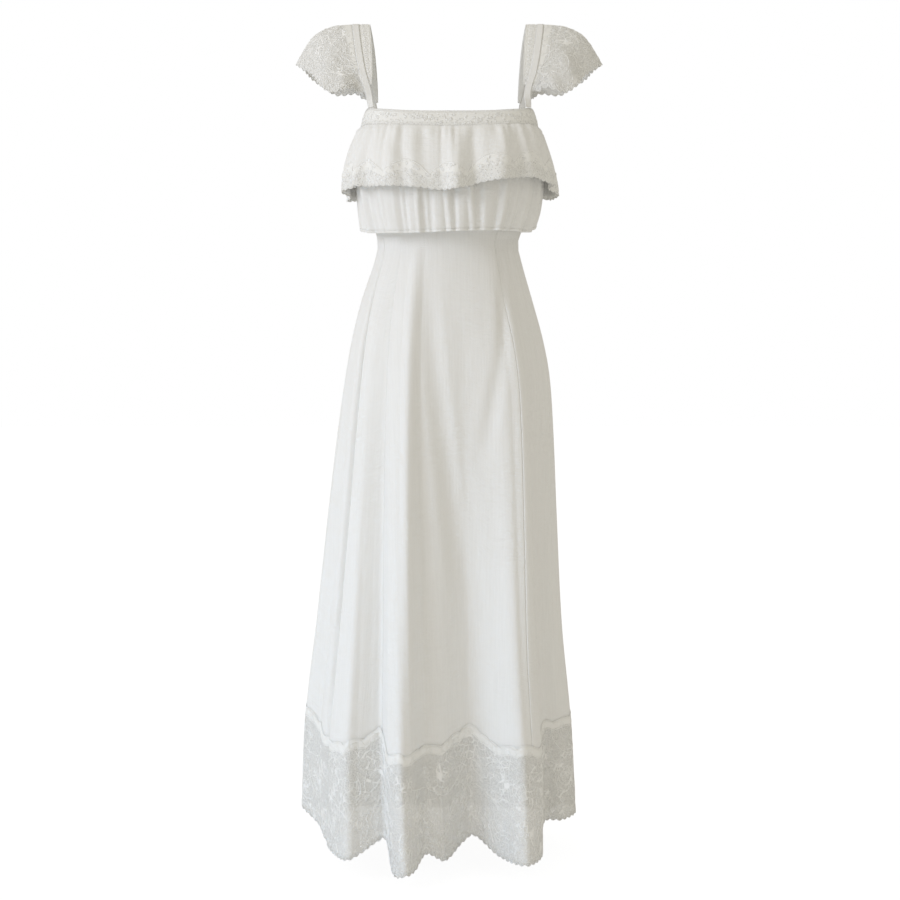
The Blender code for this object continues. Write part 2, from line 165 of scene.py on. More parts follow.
# Soft creases of the skirt. Level 1 is the waist and 2 the hem. A ridge stands out by its
# depth in metres, a trough has a negative depth, and the width is half of the crease's, in degrees
SKIRT_CREASES = (
    # turn from, level from, turn to, level to, depth, width
    (-25.0, 1.00, -23.5, 2.05, 0.0145, 7.0),
    (-14.0, 1.06, 6.0, 1.62, -0.0070, 9.0),
    (52.0, 0.96, 14.0, 1.38, -0.0050, 7.0),
    (42.0, 1.04, 46.0, 2.05, 0.0120, 7.5),
    (56.0, 0.95, 59.0, 1.90, -0.0045, 8.0),
    (-62.0, 0.98, -71.5, 2.05, -0.0100, 1.4),
    (-66.0, 0.98, -76.0, 2.05, 0.0050, 4.5),
    (-60.0, 1.10, -63.0, 2.05, -0.0040, 8.0),
    (75.0, 0.95, 70.0, 1.85, 0.0045, 8.0),
    (-22.5, 1.80, -22.0, 2.25, 0.0030, 1.6),
    (-9.5, 1.82, -7.5, 2.20, 0.0028, 1.4),
    (15.0, 1.82, 15.5, 2.20, 0.0028, 1.5),
    (100.0, 0.95, 103.0, 1.80, -0.0060, 9.0),
    (118.0, 0.92, 114.0, 1.85, 0.0070, 9.0),
    (138.0, 0.98, 132.0, 1.70, -0.0060, 10.0),
    (153.0, 0.95, 150.0, 1.80, 0.0050, 8.0),
    (171.0, 0.98, 176.0, 1.85, -0.0050, 9.0),
    (-170.0, 0.92, -168.0, 1.70, 0.0060, 9.0),
    (-152.0, 0.98, -149.0, 1.85, -0.0070, 9.0),
    (-134.0, 0.95, -137.0, 1.75, 0.0060, 8.0),
    (-117.0, 0.98, -112.0, 1.90, -0.0060, 9.0),
    (-98.0, 0.95, -101.0, 1.80, 0.0050, 8.0),
)


def mix(low, high, share):
    return low + (high - low) * share


def along(rows, column, at, period=None):
    """The value of one column of a table, on a smooth curve through its rows."""
    keys = [row[0] for row in rows]
    values = [row[column] for row in rows]
    if period:
        at = (at - keys[0]) % period + keys[0]
        keys = [keys[-1] - period] + keys + [keys[0] + period, keys[1] + period]
        values = [values[-1]] + values + [values[0], values[1]]
    if keys[0] > keys[-1]:
        keys = keys[::-1]
        values = values[::-1]
    at = min(max(at, keys[0]), keys[-1])
    i = max(k for k in range(len(keys) - 1) if keys[k] <= at)
    span = keys[i + 1] - keys[i]
    rise = (values[i + 1] - values[i]) / span
    before = after = rise
    if i > 0:
        before = (values[i + 1] - values[i - 1]) / (keys[i + 1] - keys[i - 1])
    if i < len(keys) - 2:
        after = (values[i + 2] - values[i]) / (keys[i + 2] - keys[i])
    x = (at - keys[i]) / span
    return (
        (1 + 2 * x) * (1 - x) ** 2 * values[i]
        + x * (1 - x) ** 2 * before * span
        + (3 - 2 * x) * x * x * values[i + 1]
        - x * x * (1 - x) * after * span
    )


@lru_cache(maxsize=None)
def edge_z(turn, edge):
    return along(EDGES, edge, turn, period=360.0)


@lru_cache(maxsize=None)
def section_sizes(z):
    return [along(SECTIONS, k, z) for k in range(1, 6)]


@lru_cache(maxsize=None)
def fold_end(turn):
    return Vector([along(HEM_FOLDS, k, turn, period=360.0) for k in (1, 2, 3)])


def section_point(turn, z):
    """A point of the body's section at this height, with no folds."""
    left, right, front, back, square = section_sizes(z)
    across = sin(radians(turn))
    ahead = cos(radians(turn))
    reach = (abs(across) ** square + abs(ahead) ** square) ** (-1 / square)
    width = right if across > 0 else left
    depth = front if ahead > 0 else back
    return Vector((width * reach * across, -depth * reach * ahead, z))


def outward(turn, z):
    """The level direction that points straight out of the section."""
    step = section_point(turn + 0.5, z) - section_point(turn - 0.5, z)
    return Vector((-step.y, step.x, 0.0)).normalized() * -1.0


def creased(creases, turn, level):
    """How far the creases of a table push a point out."""
    total = 0.0
    for turn_from, level_from, turn_to, level_to, depth, width in creases:
        share = (level - level_from) / (level_to - level_from)
        if not 0 < share < 1:
            continue
        across = (turn - mix(turn_from, turn_to, share) + 180) % 360 - 180
        if abs(across) < width:
            total += depth * (1 - (across / width) ** 2) ** 2 * sin(pi * share) ** 0.7
    return total


def skirt_point(turn, share):
    """A point of the skirt, share of the way from the waist to the hem."""
    start = section_point(turn, mix(WAIST_Z, HEM_Z, share))
    plain = section_point(turn, HEM_Z)
    end = fold_end(turn)
    point = start + (end - plain) * share**FOLD_GROWTH
    point.z = mix(WAIST_Z, end.z, share)
    return point


def dress_point(turn, level):
    """A point of the dress: level 0 is its top edge, 1 the waist and 2 the hem."""
    if level > 1:
        point = skirt_point(turn, level - 1)
    else:
        point = section_point(turn, mix(edge_z(turn, BODICE_TOP), WAIST_Z, level))
    push = creased(SKIRT_CREASES, turn, level)
    if push:
        point += outward(turn, max(point.z, HEM_Z)) * push
    return point


def level_above_hem(turn, height):
    """The level that lies this far above the hem."""
    return 2 - height / (WAIST_Z - fold_end(turn).z)


def lace_rise(turn):
    return along(LACE_RISES, 1, turn, period=360.0)


def bend_sheet(name, surface, columns, rows, lift, thickness, material):
    """A sheet of cloth: a flat grid bent onto a surface, with its outer side lift above it.

    Its UV map is in metres of cloth, so that weaves and nets keep their real scale.
    Returns the piece, and the rows of its points and normals for what is sewn to it.
    """
    mesh = bmesh.new()
    bmesh.ops.create_grid(mesh, x_segments=columns, y_segments=rows, size=0.5)
    bmesh.ops.reverse_faces(mesh, faces=mesh.faces[:])
    grid = [[None] * (columns + 1) for _ in range(rows + 1)]
    for vert in mesh.verts:
        i = round((vert.co.x + 0.5) * columns)
        j = round((vert.co.y + 0.5) * rows)
        grid[j][i] = vert
        vert.co = surface(i / columns, j / rows)
    mesh.normal_update()
    normals = [[vert.normal.copy() for vert in row] for row in grid]
    for row, row_normals in zip(grid, normals):
        for vert, normal in zip(row, row_normals):
            vert.co += normal * lift
    points = [[vert.co.copy() for vert in row] for row in grid]
    unrolled = {}
    middle = columns // 2
    down = 0.0
    for j, row in enumerate(points):
        if j:
            down -= (row[middle] - points[j - 1][middle]).length
        lengths = [0.0]
        for a, b in zip(row, row[1:]):
            lengths.append(lengths[-1] + (b - a).length)
        for i, length in enumerate(lengths):
            unrolled[grid[j][i]] = (length - lengths[middle], down)
    uv = mesh.loops.layers.uv.new("cloth")
    for face in mesh.faces:
        for loop in face.loops:
            loop[uv].uv = unrolled[loop.vert]
    data = bpy.data.meshes.new(name)
    mesh.to_mesh(data)
    mesh.free()
    data.shade_smooth()
    data.materials.append(material)
    piece = bpy.data.objects.new(name, data)
    bpy.context.scene.collection.objects.link(piece)
    wall = piece.modifiers.new("thickness", "SOLIDIFY")
    wall.thickness = thickness
    wall.offset = -1.0
    return piece, (points, normals)


def hex_colour(code):
    """A colour from its sRGB hex value, in the linear light that the shaders use."""
    parts = [int(code[k : k + 2], 16) / 255 for k in (1, 3, 5)]
    linear = [p / 12.92 if p <= 0.04045 else ((p + 0.055) / 1.055) ** 2.4 for p in parts]
    return (*linear, 1.0)


def add_node(tree, kind, inputs=None, **settings):
    """Adds a node with its settings. Each input takes a value, or another node's output."""
    node = tree.nodes.new(kind)
    for name, value in settings.items():
        setattr(node, name, value)
    for name, value in (inputs or {}).items():
        if isinstance(value, bpy.types.NodeSocket):
            tree.links.new(value, node.inputs[name])
        else:
            node.inputs[name].default_value = value
    return node


# Crisp cotton crepe, woven from uneven yarn and washed. It is matt, with short crinkles across
# the cloth and longer slubs down it. The real threads lie 0.3 mm apart, too fine to show here,
# so the weave is drawn at 1.8 mm.
COTTON_WHITE = "#F4F4F2"
COTTON_GREY = "#ECECEA"
CRINKLE_LENGTH, CRINKLE_SPACING, CRINKLE_DEPTH = 0.030, 0.0065, 0.0016
CRINKLE_PATCH = 0.16
# The patch noise below and above which crinkles are faint or full, and how faint
CRINKLES_FROM, CRINKLES_TO, FAINTEST_CRINKLES = 0.42, 0.62, 0.25
SLUB_LENGTH, SLUB_SPACING, SLUB_DEPTH = 0.070, 0.0035, 0.00035
THREAD_SPACING, THREAD_DEPTH = 0.0018, 0.00012
# Blender's wave texture has this many waves in a unit at scale 1
WAVES_PER_UNIT = 3.18

cotton = bpy.data.materials.new("cotton_crepe")
cotton.use_nodes = True
tree = cotton.node_tree
unrolled_cloth = add_node(tree, "ShaderNodeTexCoord").outputs["UV"]
crinkle_place = add_node(
    tree,
    "ShaderNodeMapping",
    {"Vector": unrolled_cloth, "Scale": (1 / CRINKLE_LENGTH, 1 / CRINKLE_SPACING, 1)},
)
crinkles = add_node(
    tree,
    "ShaderNodeTexNoise",
    {"Vector": crinkle_place.outputs[0], "Scale": 1.0, "Detail": 3.0, "Roughness": 0.6},
)
crinkle_patches = add_node(
    tree, "ShaderNodeTexNoise", {"Vector": unrolled_cloth, "Scale": 1 / CRINKLE_PATCH, "Detail": 1.0}
)
crinkle_patch = add_node(
    tree,
    "ShaderNodeMapRange",
    {
        "Value": crinkle_patches.outputs["Fac"],
        "From Min": CRINKLES_FROM,
        "From Max": CRINKLES_TO,
        "To Min": FAINTEST_CRINKLES,
    },
)
crinkled = add_node(
    tree,
    "ShaderNodeMath",
    {0: crinkles.outputs["Fac"], 1: crinkle_patch.outputs[0]},
    operation="MULTIPLY",
)
slub_place = add_node(
    tree,
    "ShaderNodeMapping",
    {"Vector": unrolled_cloth, "Scale": (1 / SLUB_SPACING, 1 / SLUB_LENGTH, 1)},
)
slubs = add_node(
    tree,
    "ShaderNodeTexNoise",
    {"Vector": slub_place.outputs[0], "Scale": 1.0, "Detail": 2.0, "Roughness": 0.5},
)
threads = [
    add_node(
        tree,
        "ShaderNodeTexWave",
        {
            "Vector": unrolled_cloth,
            "Scale": 1 / THREAD_SPACING / WAVES_PER_UNIT,
            "Distortion": 1.5,
            "Detail": 1.0,
        },
        bands_direction=direction,
    )
    for direction in ("X", "Y")
]
warp, weft = [thread.outputs["Fac"] for thread in threads]
weave = add_node(tree, "ShaderNodeMath", {0: warp, 1: weft}, operation="ADD")
bump = add_node(tree, "ShaderNodeBump", {"Height": crinkled.outputs[0], "Distance": CRINKLE_DEPTH})
bump = add_node(
    tree,
    "ShaderNodeBump",
    {"Height": slubs.outputs["Fac"], "Distance": SLUB_DEPTH, "Normal": bump.outputs[0]},
)
bump = add_node(
    tree,
    "ShaderNodeBump",
    {"Height": weave.outputs[0], "Distance": THREAD_DEPTH, "Normal": bump.outputs[0]},
)
whites = add_node(
    tree,
    "ShaderNodeMix",
    {0: slubs.outputs["Fac"], 6: hex_colour(COTTON_WHITE), 7: hex_colour(COTTON_GREY)},
    data_type="RGBA",
)
shader = tree.nodes["Principled BSDF"]
shader.inputs["Roughness"].default_value = 0.85
shader.inputs["IOR"].default_value = 1.5
shader.inputs["Sheen Weight"].default_value = 0.12
tree.links.new(whites.outputs[2], shader.inputs["Base Color"])
tree.links.new(bump.outputs[0], shader.inputs["Normal"])

PANELS = (
    # node, turn from, turn to, columns of its grid, cut width, cut length, cut area
    ("front_center", -PRINCESS_TURN, PRINCESS_TURN, 130, 0.37, 1.12, 0.266),
    ("front_side_left", -SIDE_TURN, -PRINCESS_TURN, 170, 0.26, 1.12, 0.164),
    ("front_side_right", PRINCESS_TURN, SIDE_TURN, 80, 0.23, 1.12, 0.141),
    ("back_left", -BACK_TURN, -SIDE_TURN, 100, 0.40, 1.12, 0.274),
    ("back_right", SIDE_TURN, BACK_TURN, 100, 0.38, 1.12, 0.262),
)
for node, turn_from, turn_to, columns, cut_width, cut_length, cut_area in PANELS:

    def panel_surface(s, t):
        turn = mix(turn_from, turn_to, s)
        cloth_edge = level_above_hem(turn, HEM_LACE_HEIGHT + lace_rise(turn) - HEM_LACE_OVERLAP)
        point = dress_point(turn, cloth_edge * t)
        from_seam = min(turn - turn_from, turn_to - turn) / SEAM_DIP_TURN
        if from_seam < 1:
            point -= outward(turn, max(point.z, HEM_Z)) * SEAM_DIP * (1 - from_seam)
        return point

    panel, _ = bend_sheet(
        node + "_cloth", panel_surface, columns, PANEL_ROWS, SOLID_CLOTH, COTTON_THICKNESS, cotton
    )
    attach(panel, "root")
    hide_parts(node)


# Lace at the hem
# Wide flounce lace of fine cotton net, in a front and a back length joined at the sides. Its
# patterned top edge is laid over the skirt's cloth and sewn along the cords, and its lower
# edge has small scallops. Flowers, scrolls and leaves are outlined on the net in thick thread.

LACE_THICKNESS = 0.0003
HEM_LACE_COLUMNS = 360
HEM_LACE_ROWS = 22
TOP_ARCH_WIDTH = 0.047
TOP_ARCH_HEIGHT = 0.007
SCALLOP_WIDTH = 0.0115
SCALLOP_DEPTH = 0.0035
SCALLOP_LOOPS = 0.006
SCALLOP_RINGS = 0.011
# How far below the lace's upper edge its thin cord, its sewing cord and its flowers lie
THIN_CORD_BELOW = 0.0012
SEWING_CORD_BELOW = 0.0165
TOP_FLOWERS_BELOW = 0.014
TOP_FLOWER_RADIUS = 0.0075
TOP_CORD_STEP = 0.0025
HEM_RINGS_TOP = 0.165
HEM_RING_SPACING = 0.024
THICK_CORD = 0.00062
THIN_CORD = 0.00042
# Steps in which a hem's length is measured
HEM_STEPS = 240

# Cotton net, twisted from fine thread and seen through, so it looks greyer than the cloth. The
# real cells are 1 mm wide, too fine to show here, so they are drawn 1.6 mm wide. Over parts of
# it a thicker thread is worked into rounded cells 14 mm wide. Along its sewn upper edge it is
# denser and has cloth behind it, so it is as white as the cloth there.
NET_WHITE = "#E6E6E3"
NET_CELL = 0.0016
NET_THREAD = 0.19
NET_SOFTNESS = 0.13
WORKED_WHITE = "#F7F7F5"
WORKED_CELL = 0.014
WORKED_THREAD = 0.042
WORKED_SWAY = 0.007
WORKED_PATCH = 0.070
WORKED_FROM, WORKED_TO = 0.44, 0.52
WORKED_RELIEF = 0.0005
SEWN_WHITE = "#F0F0ED"
SEWN_FROM, SEWN_TO = -0.0175, -0.0150

net = bpy.data.materials.new("cotton_net")
net.use_nodes = True
tree = net.node_tree
unrolled_cloth = add_node(tree, "ShaderNodeTexCoord").outputs["UV"]
cells = add_node(
    tree,
    "ShaderNodeTexVoronoi",
    {"Vector": unrolled_cloth, "Scale": 1 / NET_CELL, "Randomness": 0.55},
    feature="DISTANCE_TO_EDGE",
    name="net_cells",
)
net_threads = add_node(
    tree,
    "ShaderNodeMapRange",
    {
        "Value": cells.outputs["Distance"],
        "From Min": NET_THREAD,
        "From Max": NET_THREAD + NET_SOFTNESS,
        "To Min": 1.0,
        "To Max": 0.0,
    },
    name="net_threads",
)
patches = add_node(
    tree, "ShaderNodeTexNoise", {"Vector": unrolled_cloth, "Scale": 1 / WORKED_PATCH, "Detail": 0.0}
)
patch = add_node(
    tree,
    "ShaderNodeMapRange",
    {"Value": patches.outputs["Fac"], "From Min": WORKED_FROM, "From Max": WORKED_TO},
    name="worked_patches",
)
sway = add_node(
    tree, "ShaderNodeTexNoise", {"Vector": unrolled_cloth, "Scale": 0.6 / WORKED_CELL, "Detail": 0.0}
)
swayed = add_node(
    tree,
    "ShaderNodeVectorMath",
    {0: sway.outputs["Color"], 1: (WORKED_SWAY, WORKED_SWAY, 0.0), 2: unrolled_cloth},
    operation="MULTIPLY_ADD",
)
worked_cells = add_node(
    tree,
    "ShaderNodeTexVoronoi",
    {"Vector": swayed.outputs[0], "Scale": 1 / WORKED_CELL, "Randomness": 0.75},
    feature="DISTANCE_TO_EDGE",
)
worked_lines = add_node(
    tree,
    "ShaderNodeMapRange",
    {
        "Value": worked_cells.outputs["Distance"],
        "From Min": WORKED_THREAD * 0.7,
        "From Max": WORKED_THREAD * 1.3,
        "To Min": 1.0,
        "To Max": 0.0,
    },
)
worked = add_node(
    tree, "ShaderNodeMath", {0: worked_lines.outputs[0], 1: patch.outputs[0]}, operation="MULTIPLY"
)
solid_thread = add_node(
    tree, "ShaderNodeMath", {0: worked.outputs[0], 1: net_threads.outputs[0]}, operation="MAXIMUM"
)
worked_white = add_node(
    tree,
    "ShaderNodeMix",
    {0: worked.outputs[0], 6: hex_colour(NET_WHITE), 7: hex_colour(WORKED_WHITE)},
    data_type="RGBA",
    name="net_white",
)
down_the_lace = add_node(tree, "ShaderNodeSeparateXYZ", {"Vector": unrolled_cloth}).outputs["Y"]
sewn = add_node(
    tree, "ShaderNodeMapRange", {"Value": down_the_lace, "From Min": SEWN_FROM, "From Max": SEWN_TO}
)
whites = add_node(
    tree,
    "ShaderNodeMix",
    {0: sewn.outputs[0], 6: worked_white.outputs[2], 7: hex_colour(SEWN_WHITE)},
    data_type="RGBA",
)
closed = add_node(
    tree, "ShaderNodeMath", {0: sewn.outputs[0], 1: solid_thread.outputs[0]}, operation="MAXIMUM"
)
bump = add_node(tree, "ShaderNodeBump", {"Height": worked.outputs[0], "Distance": WORKED_RELIEF})
shader = tree.nodes["Principled BSDF"]
shader.inputs["Roughness"].default_value = 0.8
shader.inputs["IOR"].default_value = 1.5
tree.links.new(whites.outputs[2], shader.inputs["Base Color"])
tree.links.new(bump.outputs[0], shader.inputs["Normal"])
tree.links.new(closed.outputs[0], shader.inputs["Alpha"])

# Thick outlining thread of mercerised cotton, a little glossier than the net. Its twist, drawn
# at 1.5 mm, breaks the light along each cord.
CORD_WHITE = "#F9F9F7"
CORD_TWIST = 0.0015
TWIST_DEPTH = 0.0004
cord_thread = bpy.data.materials.new("mercerised_cotton_thread")
cord_thread.use_nodes = True
tree = cord_thread.node_tree
object_place = add_node(tree, "ShaderNodeTexCoord").outputs["Object"]
twist = add_node(
    tree,
    "ShaderNodeTexNoise",
    {"Vector": object_place, "Scale": 1 / CORD_TWIST, "Detail": 1.0, "Roughness": 0.5},
)
bump = add_node(tree, "ShaderNodeBump", {"Height": twist.outputs["Fac"], "Distance": TWIST_DEPTH})
shader = tree.nodes["Principled BSDF"]
shader.inputs["Base Color"].default_value = hex_colour(CORD_WHITE)
shader.inputs["Roughness"].default_value = 0.6
shader.inputs["IOR"].default_value = 1.5
tree.links.new(bump.outputs[0], shader.inputs["Normal"])


def scroll(u, v, radius, start, sweep, pull=1.0, steps=16):
    """A scroll round a centre, in metres of flat lace: its radius shrinks to pull times itself."""
    line = []
    for k in range(steps + 1):
        angle = radians(start + sweep * k / steps)
        reach = radius * pull ** (k / steps)
        line.append((u + reach * cos(angle), v + reach * sin(angle)))
    return line


def petal(u, v, length, width, turn, tip=1.0, steps=6):
    """A loop from a point out to a rounded end, or to a sharper one where tip is larger."""
    line = []
    for k in range(steps + 1):
        angle = 2 * pi * k / steps
        out = length * (0.5 - 0.5 * cos(angle))
        side = width / 2 * sin(angle) * (0.5 - 0.5 * cos(angle)) ** (0.5 / tip)
        a = radians(turn)
        line.append((u + out * cos(a) - side * sin(a), v + out * sin(a) + side * cos(a)))
    return line


def flower(u, v, radius, petals, turn):
    """Rounded petals round a small ring, each with a thread down its middle."""
    lines = [scroll(u, v, radius * 0.22, 0, 360, steps=6)]
    for k in range(petals):
        at = turn + 360 * k / petals
        lines.append(petal(u, v, radius, radius * 0.85, at))
        inner, outer = radius * 0.3, radius * 0.75
        a = radians(at)
        lines.append([(u + reach * cos(a), v + reach * sin(a)) for reach in (inner, outer)])
    return lines


def leaf(u, v, length, turn):
    """A pointed leaf with its midrib."""
    a = radians(turn)
    return [
        petal(u, v, length, length * 0.42, turn, tip=2.0),
        [(u, v), (u + length * 0.8 * cos(a), v + length * 0.8 * sin(a))],
    ]


def stem(u0, v0, u1, v1, bow, leaves, leaf_length):
    """A bowed stem with leaves on both sides by turns."""
    lines = [[]]
    for k in range(13):
        x = k / 12
        side = bow * 4 * x * (1 - x)
        lines[0].append((mix(u0, u1, x) - (v1 - v0) * side, mix(v0, v1, x) + (u1 - u0) * side))
    for k in range(leaves):
        at = 1 + int(11 * (k + 0.5) / leaves)
        (a, b), (c, d) = lines[0][at], lines[0][at + 1]
        heading = Vector((c - a, d - b)).angle_signed(Vector((1, 0))) * 180 / pi
        lines += leaf(a, b, leaf_length, heading + (48 if k % 2 else -48))
    return lines


def on_cloth(sheet, s, t, height):
    """A point this far above a bent sheet, for shares s and t of the way across and down."""
    points, normals = sheet
    x = min(max(s, 0.0), 1.0) * (len(points[0]) - 1)
    y = min(max(t, 0.0), 1.0) * (len(points) - 1)
    i, j = min(int(x), len(points[0]) - 2), min(int(y), len(points) - 2)
    x -= i
    y -= j
    upper = points[j][i].lerp(points[j][i + 1], x)
    lower = points[j + 1][i].lerp(points[j + 1][i + 1], x)
    normal = normals[j][i].lerp(normals[j + 1][i + 1], (x + y) / 2)
    return upper.lerp(lower, y) + normal * height


def lay_cords(name, sheet, lines, place, radius, height, material):
    """Threads sewn to a bent sheet, as thin cords. Place turns flat metres into shares s and t."""
    curve = bpy.data.curves.new(name, "CURVE")
    curve.dimensions = "3D"
    curve.bevel_depth = radius
    curve.bevel_resolution = 0
    for line in lines:
        shares = [place(u, v) for u, v in line]
        shares = [(s, t) for s, t in shares if 0 <= s <= 1 and 0 <= t <= 1]
        if len(shares) < 2:
            continue
        spline = curve.splines.new("POLY")
        spline.points.add(len(shares) - 1)
        for point, (s, t) in zip(spline.points, shares):
            point.co = (*on_cloth(sheet, s, t, height), 1.0)
    drawn = bpy.data.objects.new(name + "_lines", curve)
    bpy.context.scene.collection.objects.link(drawn)
    data = bpy.data.meshes.new_from_object(drawn, depsgraph=bpy.context.evaluated_depsgraph_get())
    bpy.data.objects.remove(drawn)
    data.name = name
    data.shade_smooth()
    data.materials.clear()
    data.materials.append(material)
    piece = bpy.data.objects.new(name, data)
    bpy.context.scene.collection.objects.link(piece)
    return piece


def oval(u, v, width, height, turn, start=0, sweep=360, steps=24):
    """An oval round a centre, or a part of one."""
    a = radians(turn)
    line = []
    for k in range(steps + 1):
        angle = radians(start + sweep * k / steps)
        x = width / 2 * cos(angle)
        y = height / 2 * sin(angle)
        line.append((u + x * cos(a) - y * sin(a), v + x * sin(a) + y * cos(a)))
    return line


def vine(u0, v0, u1, v1, bow, curls, curl):
    """A long bowed thread with round curls on both sides by turns."""
    lines = stem(u0, v0, u1, v1, bow, 0, 0)
    for k in range(curls):
        u, v = lines[0][round(12 * (k + 0.7) / (curls + 0.4))]
        side = -1 if k % 2 else 1
        lines.append(scroll(u, v + side * curl, curl, -90 * side, 290 * side, pull=0.45, steps=14))
    return lines


# One repeat of the hem lace's pattern, 0.23 m wide, in millimetres of flat lace: v is the
# height above the hem
REPEAT = 230.0
HEM_OVALS = (
    # u, v, width, height, turn, start, sweep
    (46, 84, 46, 68, 12, 150, 260),
    (46, 88, 36, 50, 12, 170, 220),
    (152, 56, 58, 50, -12, 160, 250),
    (152, 60, 46, 38, -12, 180, 190),
    (206, 118, 36, 54, 25, 100, 270),
    (102, 136, 40, 38, 0, 170, 200),
    (14, 46, 44, 40, 10, 190, 200),
    (96, 30, 40, 34, 0, 10, 170),
    (180, 150, 44, 26, 0, 180, 180),
)
HEM_VINES = (
    # u from, v from, u to, v to, bow, curls, curl radius
    (0, 16, 104, 96, 0.22, 5, 8),
    (104, 96, 230, 16, 0.20, 5, 9),
    (0, 118, 78, 160, -0.20, 3, 7),
    (122, 152, 186, 158, 0.22, 3, 7),
    (84, 12, 104, 60, 0.30, 2, 8),
)
HEM_FLOWERS = (
    # u, v, radius, petals, turn
    (46, 84, 14, 6, 10),
    (152, 58, 13, 6, 40),
    (206, 116, 9, 5, 0),
    (100, 134, 10, 6, 20),
    (24, 146, 8, 5, 50),
    (162, 146, 8, 5, 5),
    (96, 34, 9, 5, 30),
    (14, 40, 7, 5, 0),
    (192, 26, 8, 5, 15),
)
HEM_STEMS = (
    # u from, v from, u to, v to, bow, leaves, leaf length
    (70, 60, 84, 128, 0.16, 6, 13),
    (122, 92, 160, 132, -0.20, 5, 13),
    (196, 48, 226, 92, 0.16, 5, 12),
    (22, 20, 62, 40, -0.22, 4, 12),
)


SMALLEST_RING, LARGEST_RING = 0.0016, 0.0030


def scattered_rings(width, height, spacing, seed):
    """Small worked rings strewn over the net between the larger motifs."""
    random = Random(seed)
    lines = []
    for _ in range(int(width * height / spacing**2)):
        u, v = random.uniform(0, width), random.uniform(0, height)
        radius = random.uniform(SMALLEST_RING, LARGEST_RING)
        lines.append(scroll(u, v, radius, random.uniform(0, 90), 320, steps=6))
    return lines


def scalloped(width, low, high):
    """The row of small loops and rings along a scalloped edge."""
    lines = []
    for k in range(round(width / SCALLOP_WIDTH)):
        u = (k + 0.5) * SCALLOP_WIDTH
        lines.append(scroll(u, low, SCALLOP_WIDTH * 0.46, 180, 180, steps=8))
        lines.append(scroll(u, high, SCALLOP_WIDTH * 0.24, 0, 360, steps=6))
    return lines


def hem_pattern(width):
    """The pattern's thick threads and its thin ones, over the whole width of the lace."""
    thick, thin = [], []
    for k in range(round(width * 1000 / REPEAT) + 1):
        outlines = [oval(*row) for row in HEM_OVALS]
        for row in HEM_VINES:
            outlines += vine(*row)
        fillings = []
        for row in HEM_FLOWERS:
            fillings += flower(*row)
        for row in HEM_STEMS:
            fillings += stem(*row)
        for drawn, lines in ((outlines, thick), (fillings, thin)):
            for line in drawn:
                turned = [(REPEAT - u if k % 2 else u, v) for u, v in line]
                lines.append([(u / 1000 + k * REPEAT / 1000, v / 1000) for u, v in turned])
    thin += scattered_rings(width, HEM_RINGS_TOP, HEM_RING_SPACING, 3)
    thin += scalloped(width, SCALLOP_LOOPS, SCALLOP_RINGS)
    return thick, thin


def edge_lengths(surface, count):
    """How far along a surface's lower edge each of count steps lies."""
    lengths = [0.0]
    for k in range(count):
        lengths.append(lengths[-1] + (surface((k + 1) / count, 1.0) - surface(k / count, 1.0)).length)
    return lengths


def length_at(lengths, share):
    """How far along an edge this share of the way across lies, from edge_lengths."""
    steps = len(lengths) - 1
    k = min(int(share * steps), steps - 1)
    return mix(lengths[k], lengths[k + 1], share * steps - k)


def share_along(lengths, distance):
    """The share of the way across that lies this far along an edge, from edge_lengths."""
    if distance <= 0 or distance >= lengths[-1]:
        return distance / lengths[-1]
    k = max(i for i in range(len(lengths) - 1) if lengths[i] <= distance)
    return (k + (distance - lengths[k]) / (lengths[k + 1] - lengths[k])) / (len(lengths) - 1)


def lace_top(distance):
    """How high the hem lace's upper edge lies above the hem: low arches of uneven height."""
    arch = abs(sin(pi * distance / TOP_ARCH_WIDTH)) ** 0.6
    return HEM_LACE_HEIGHT - TOP_ARCH_HEIGHT * (1 - arch * (0.8 + 0.2 * sin(40 * distance)))


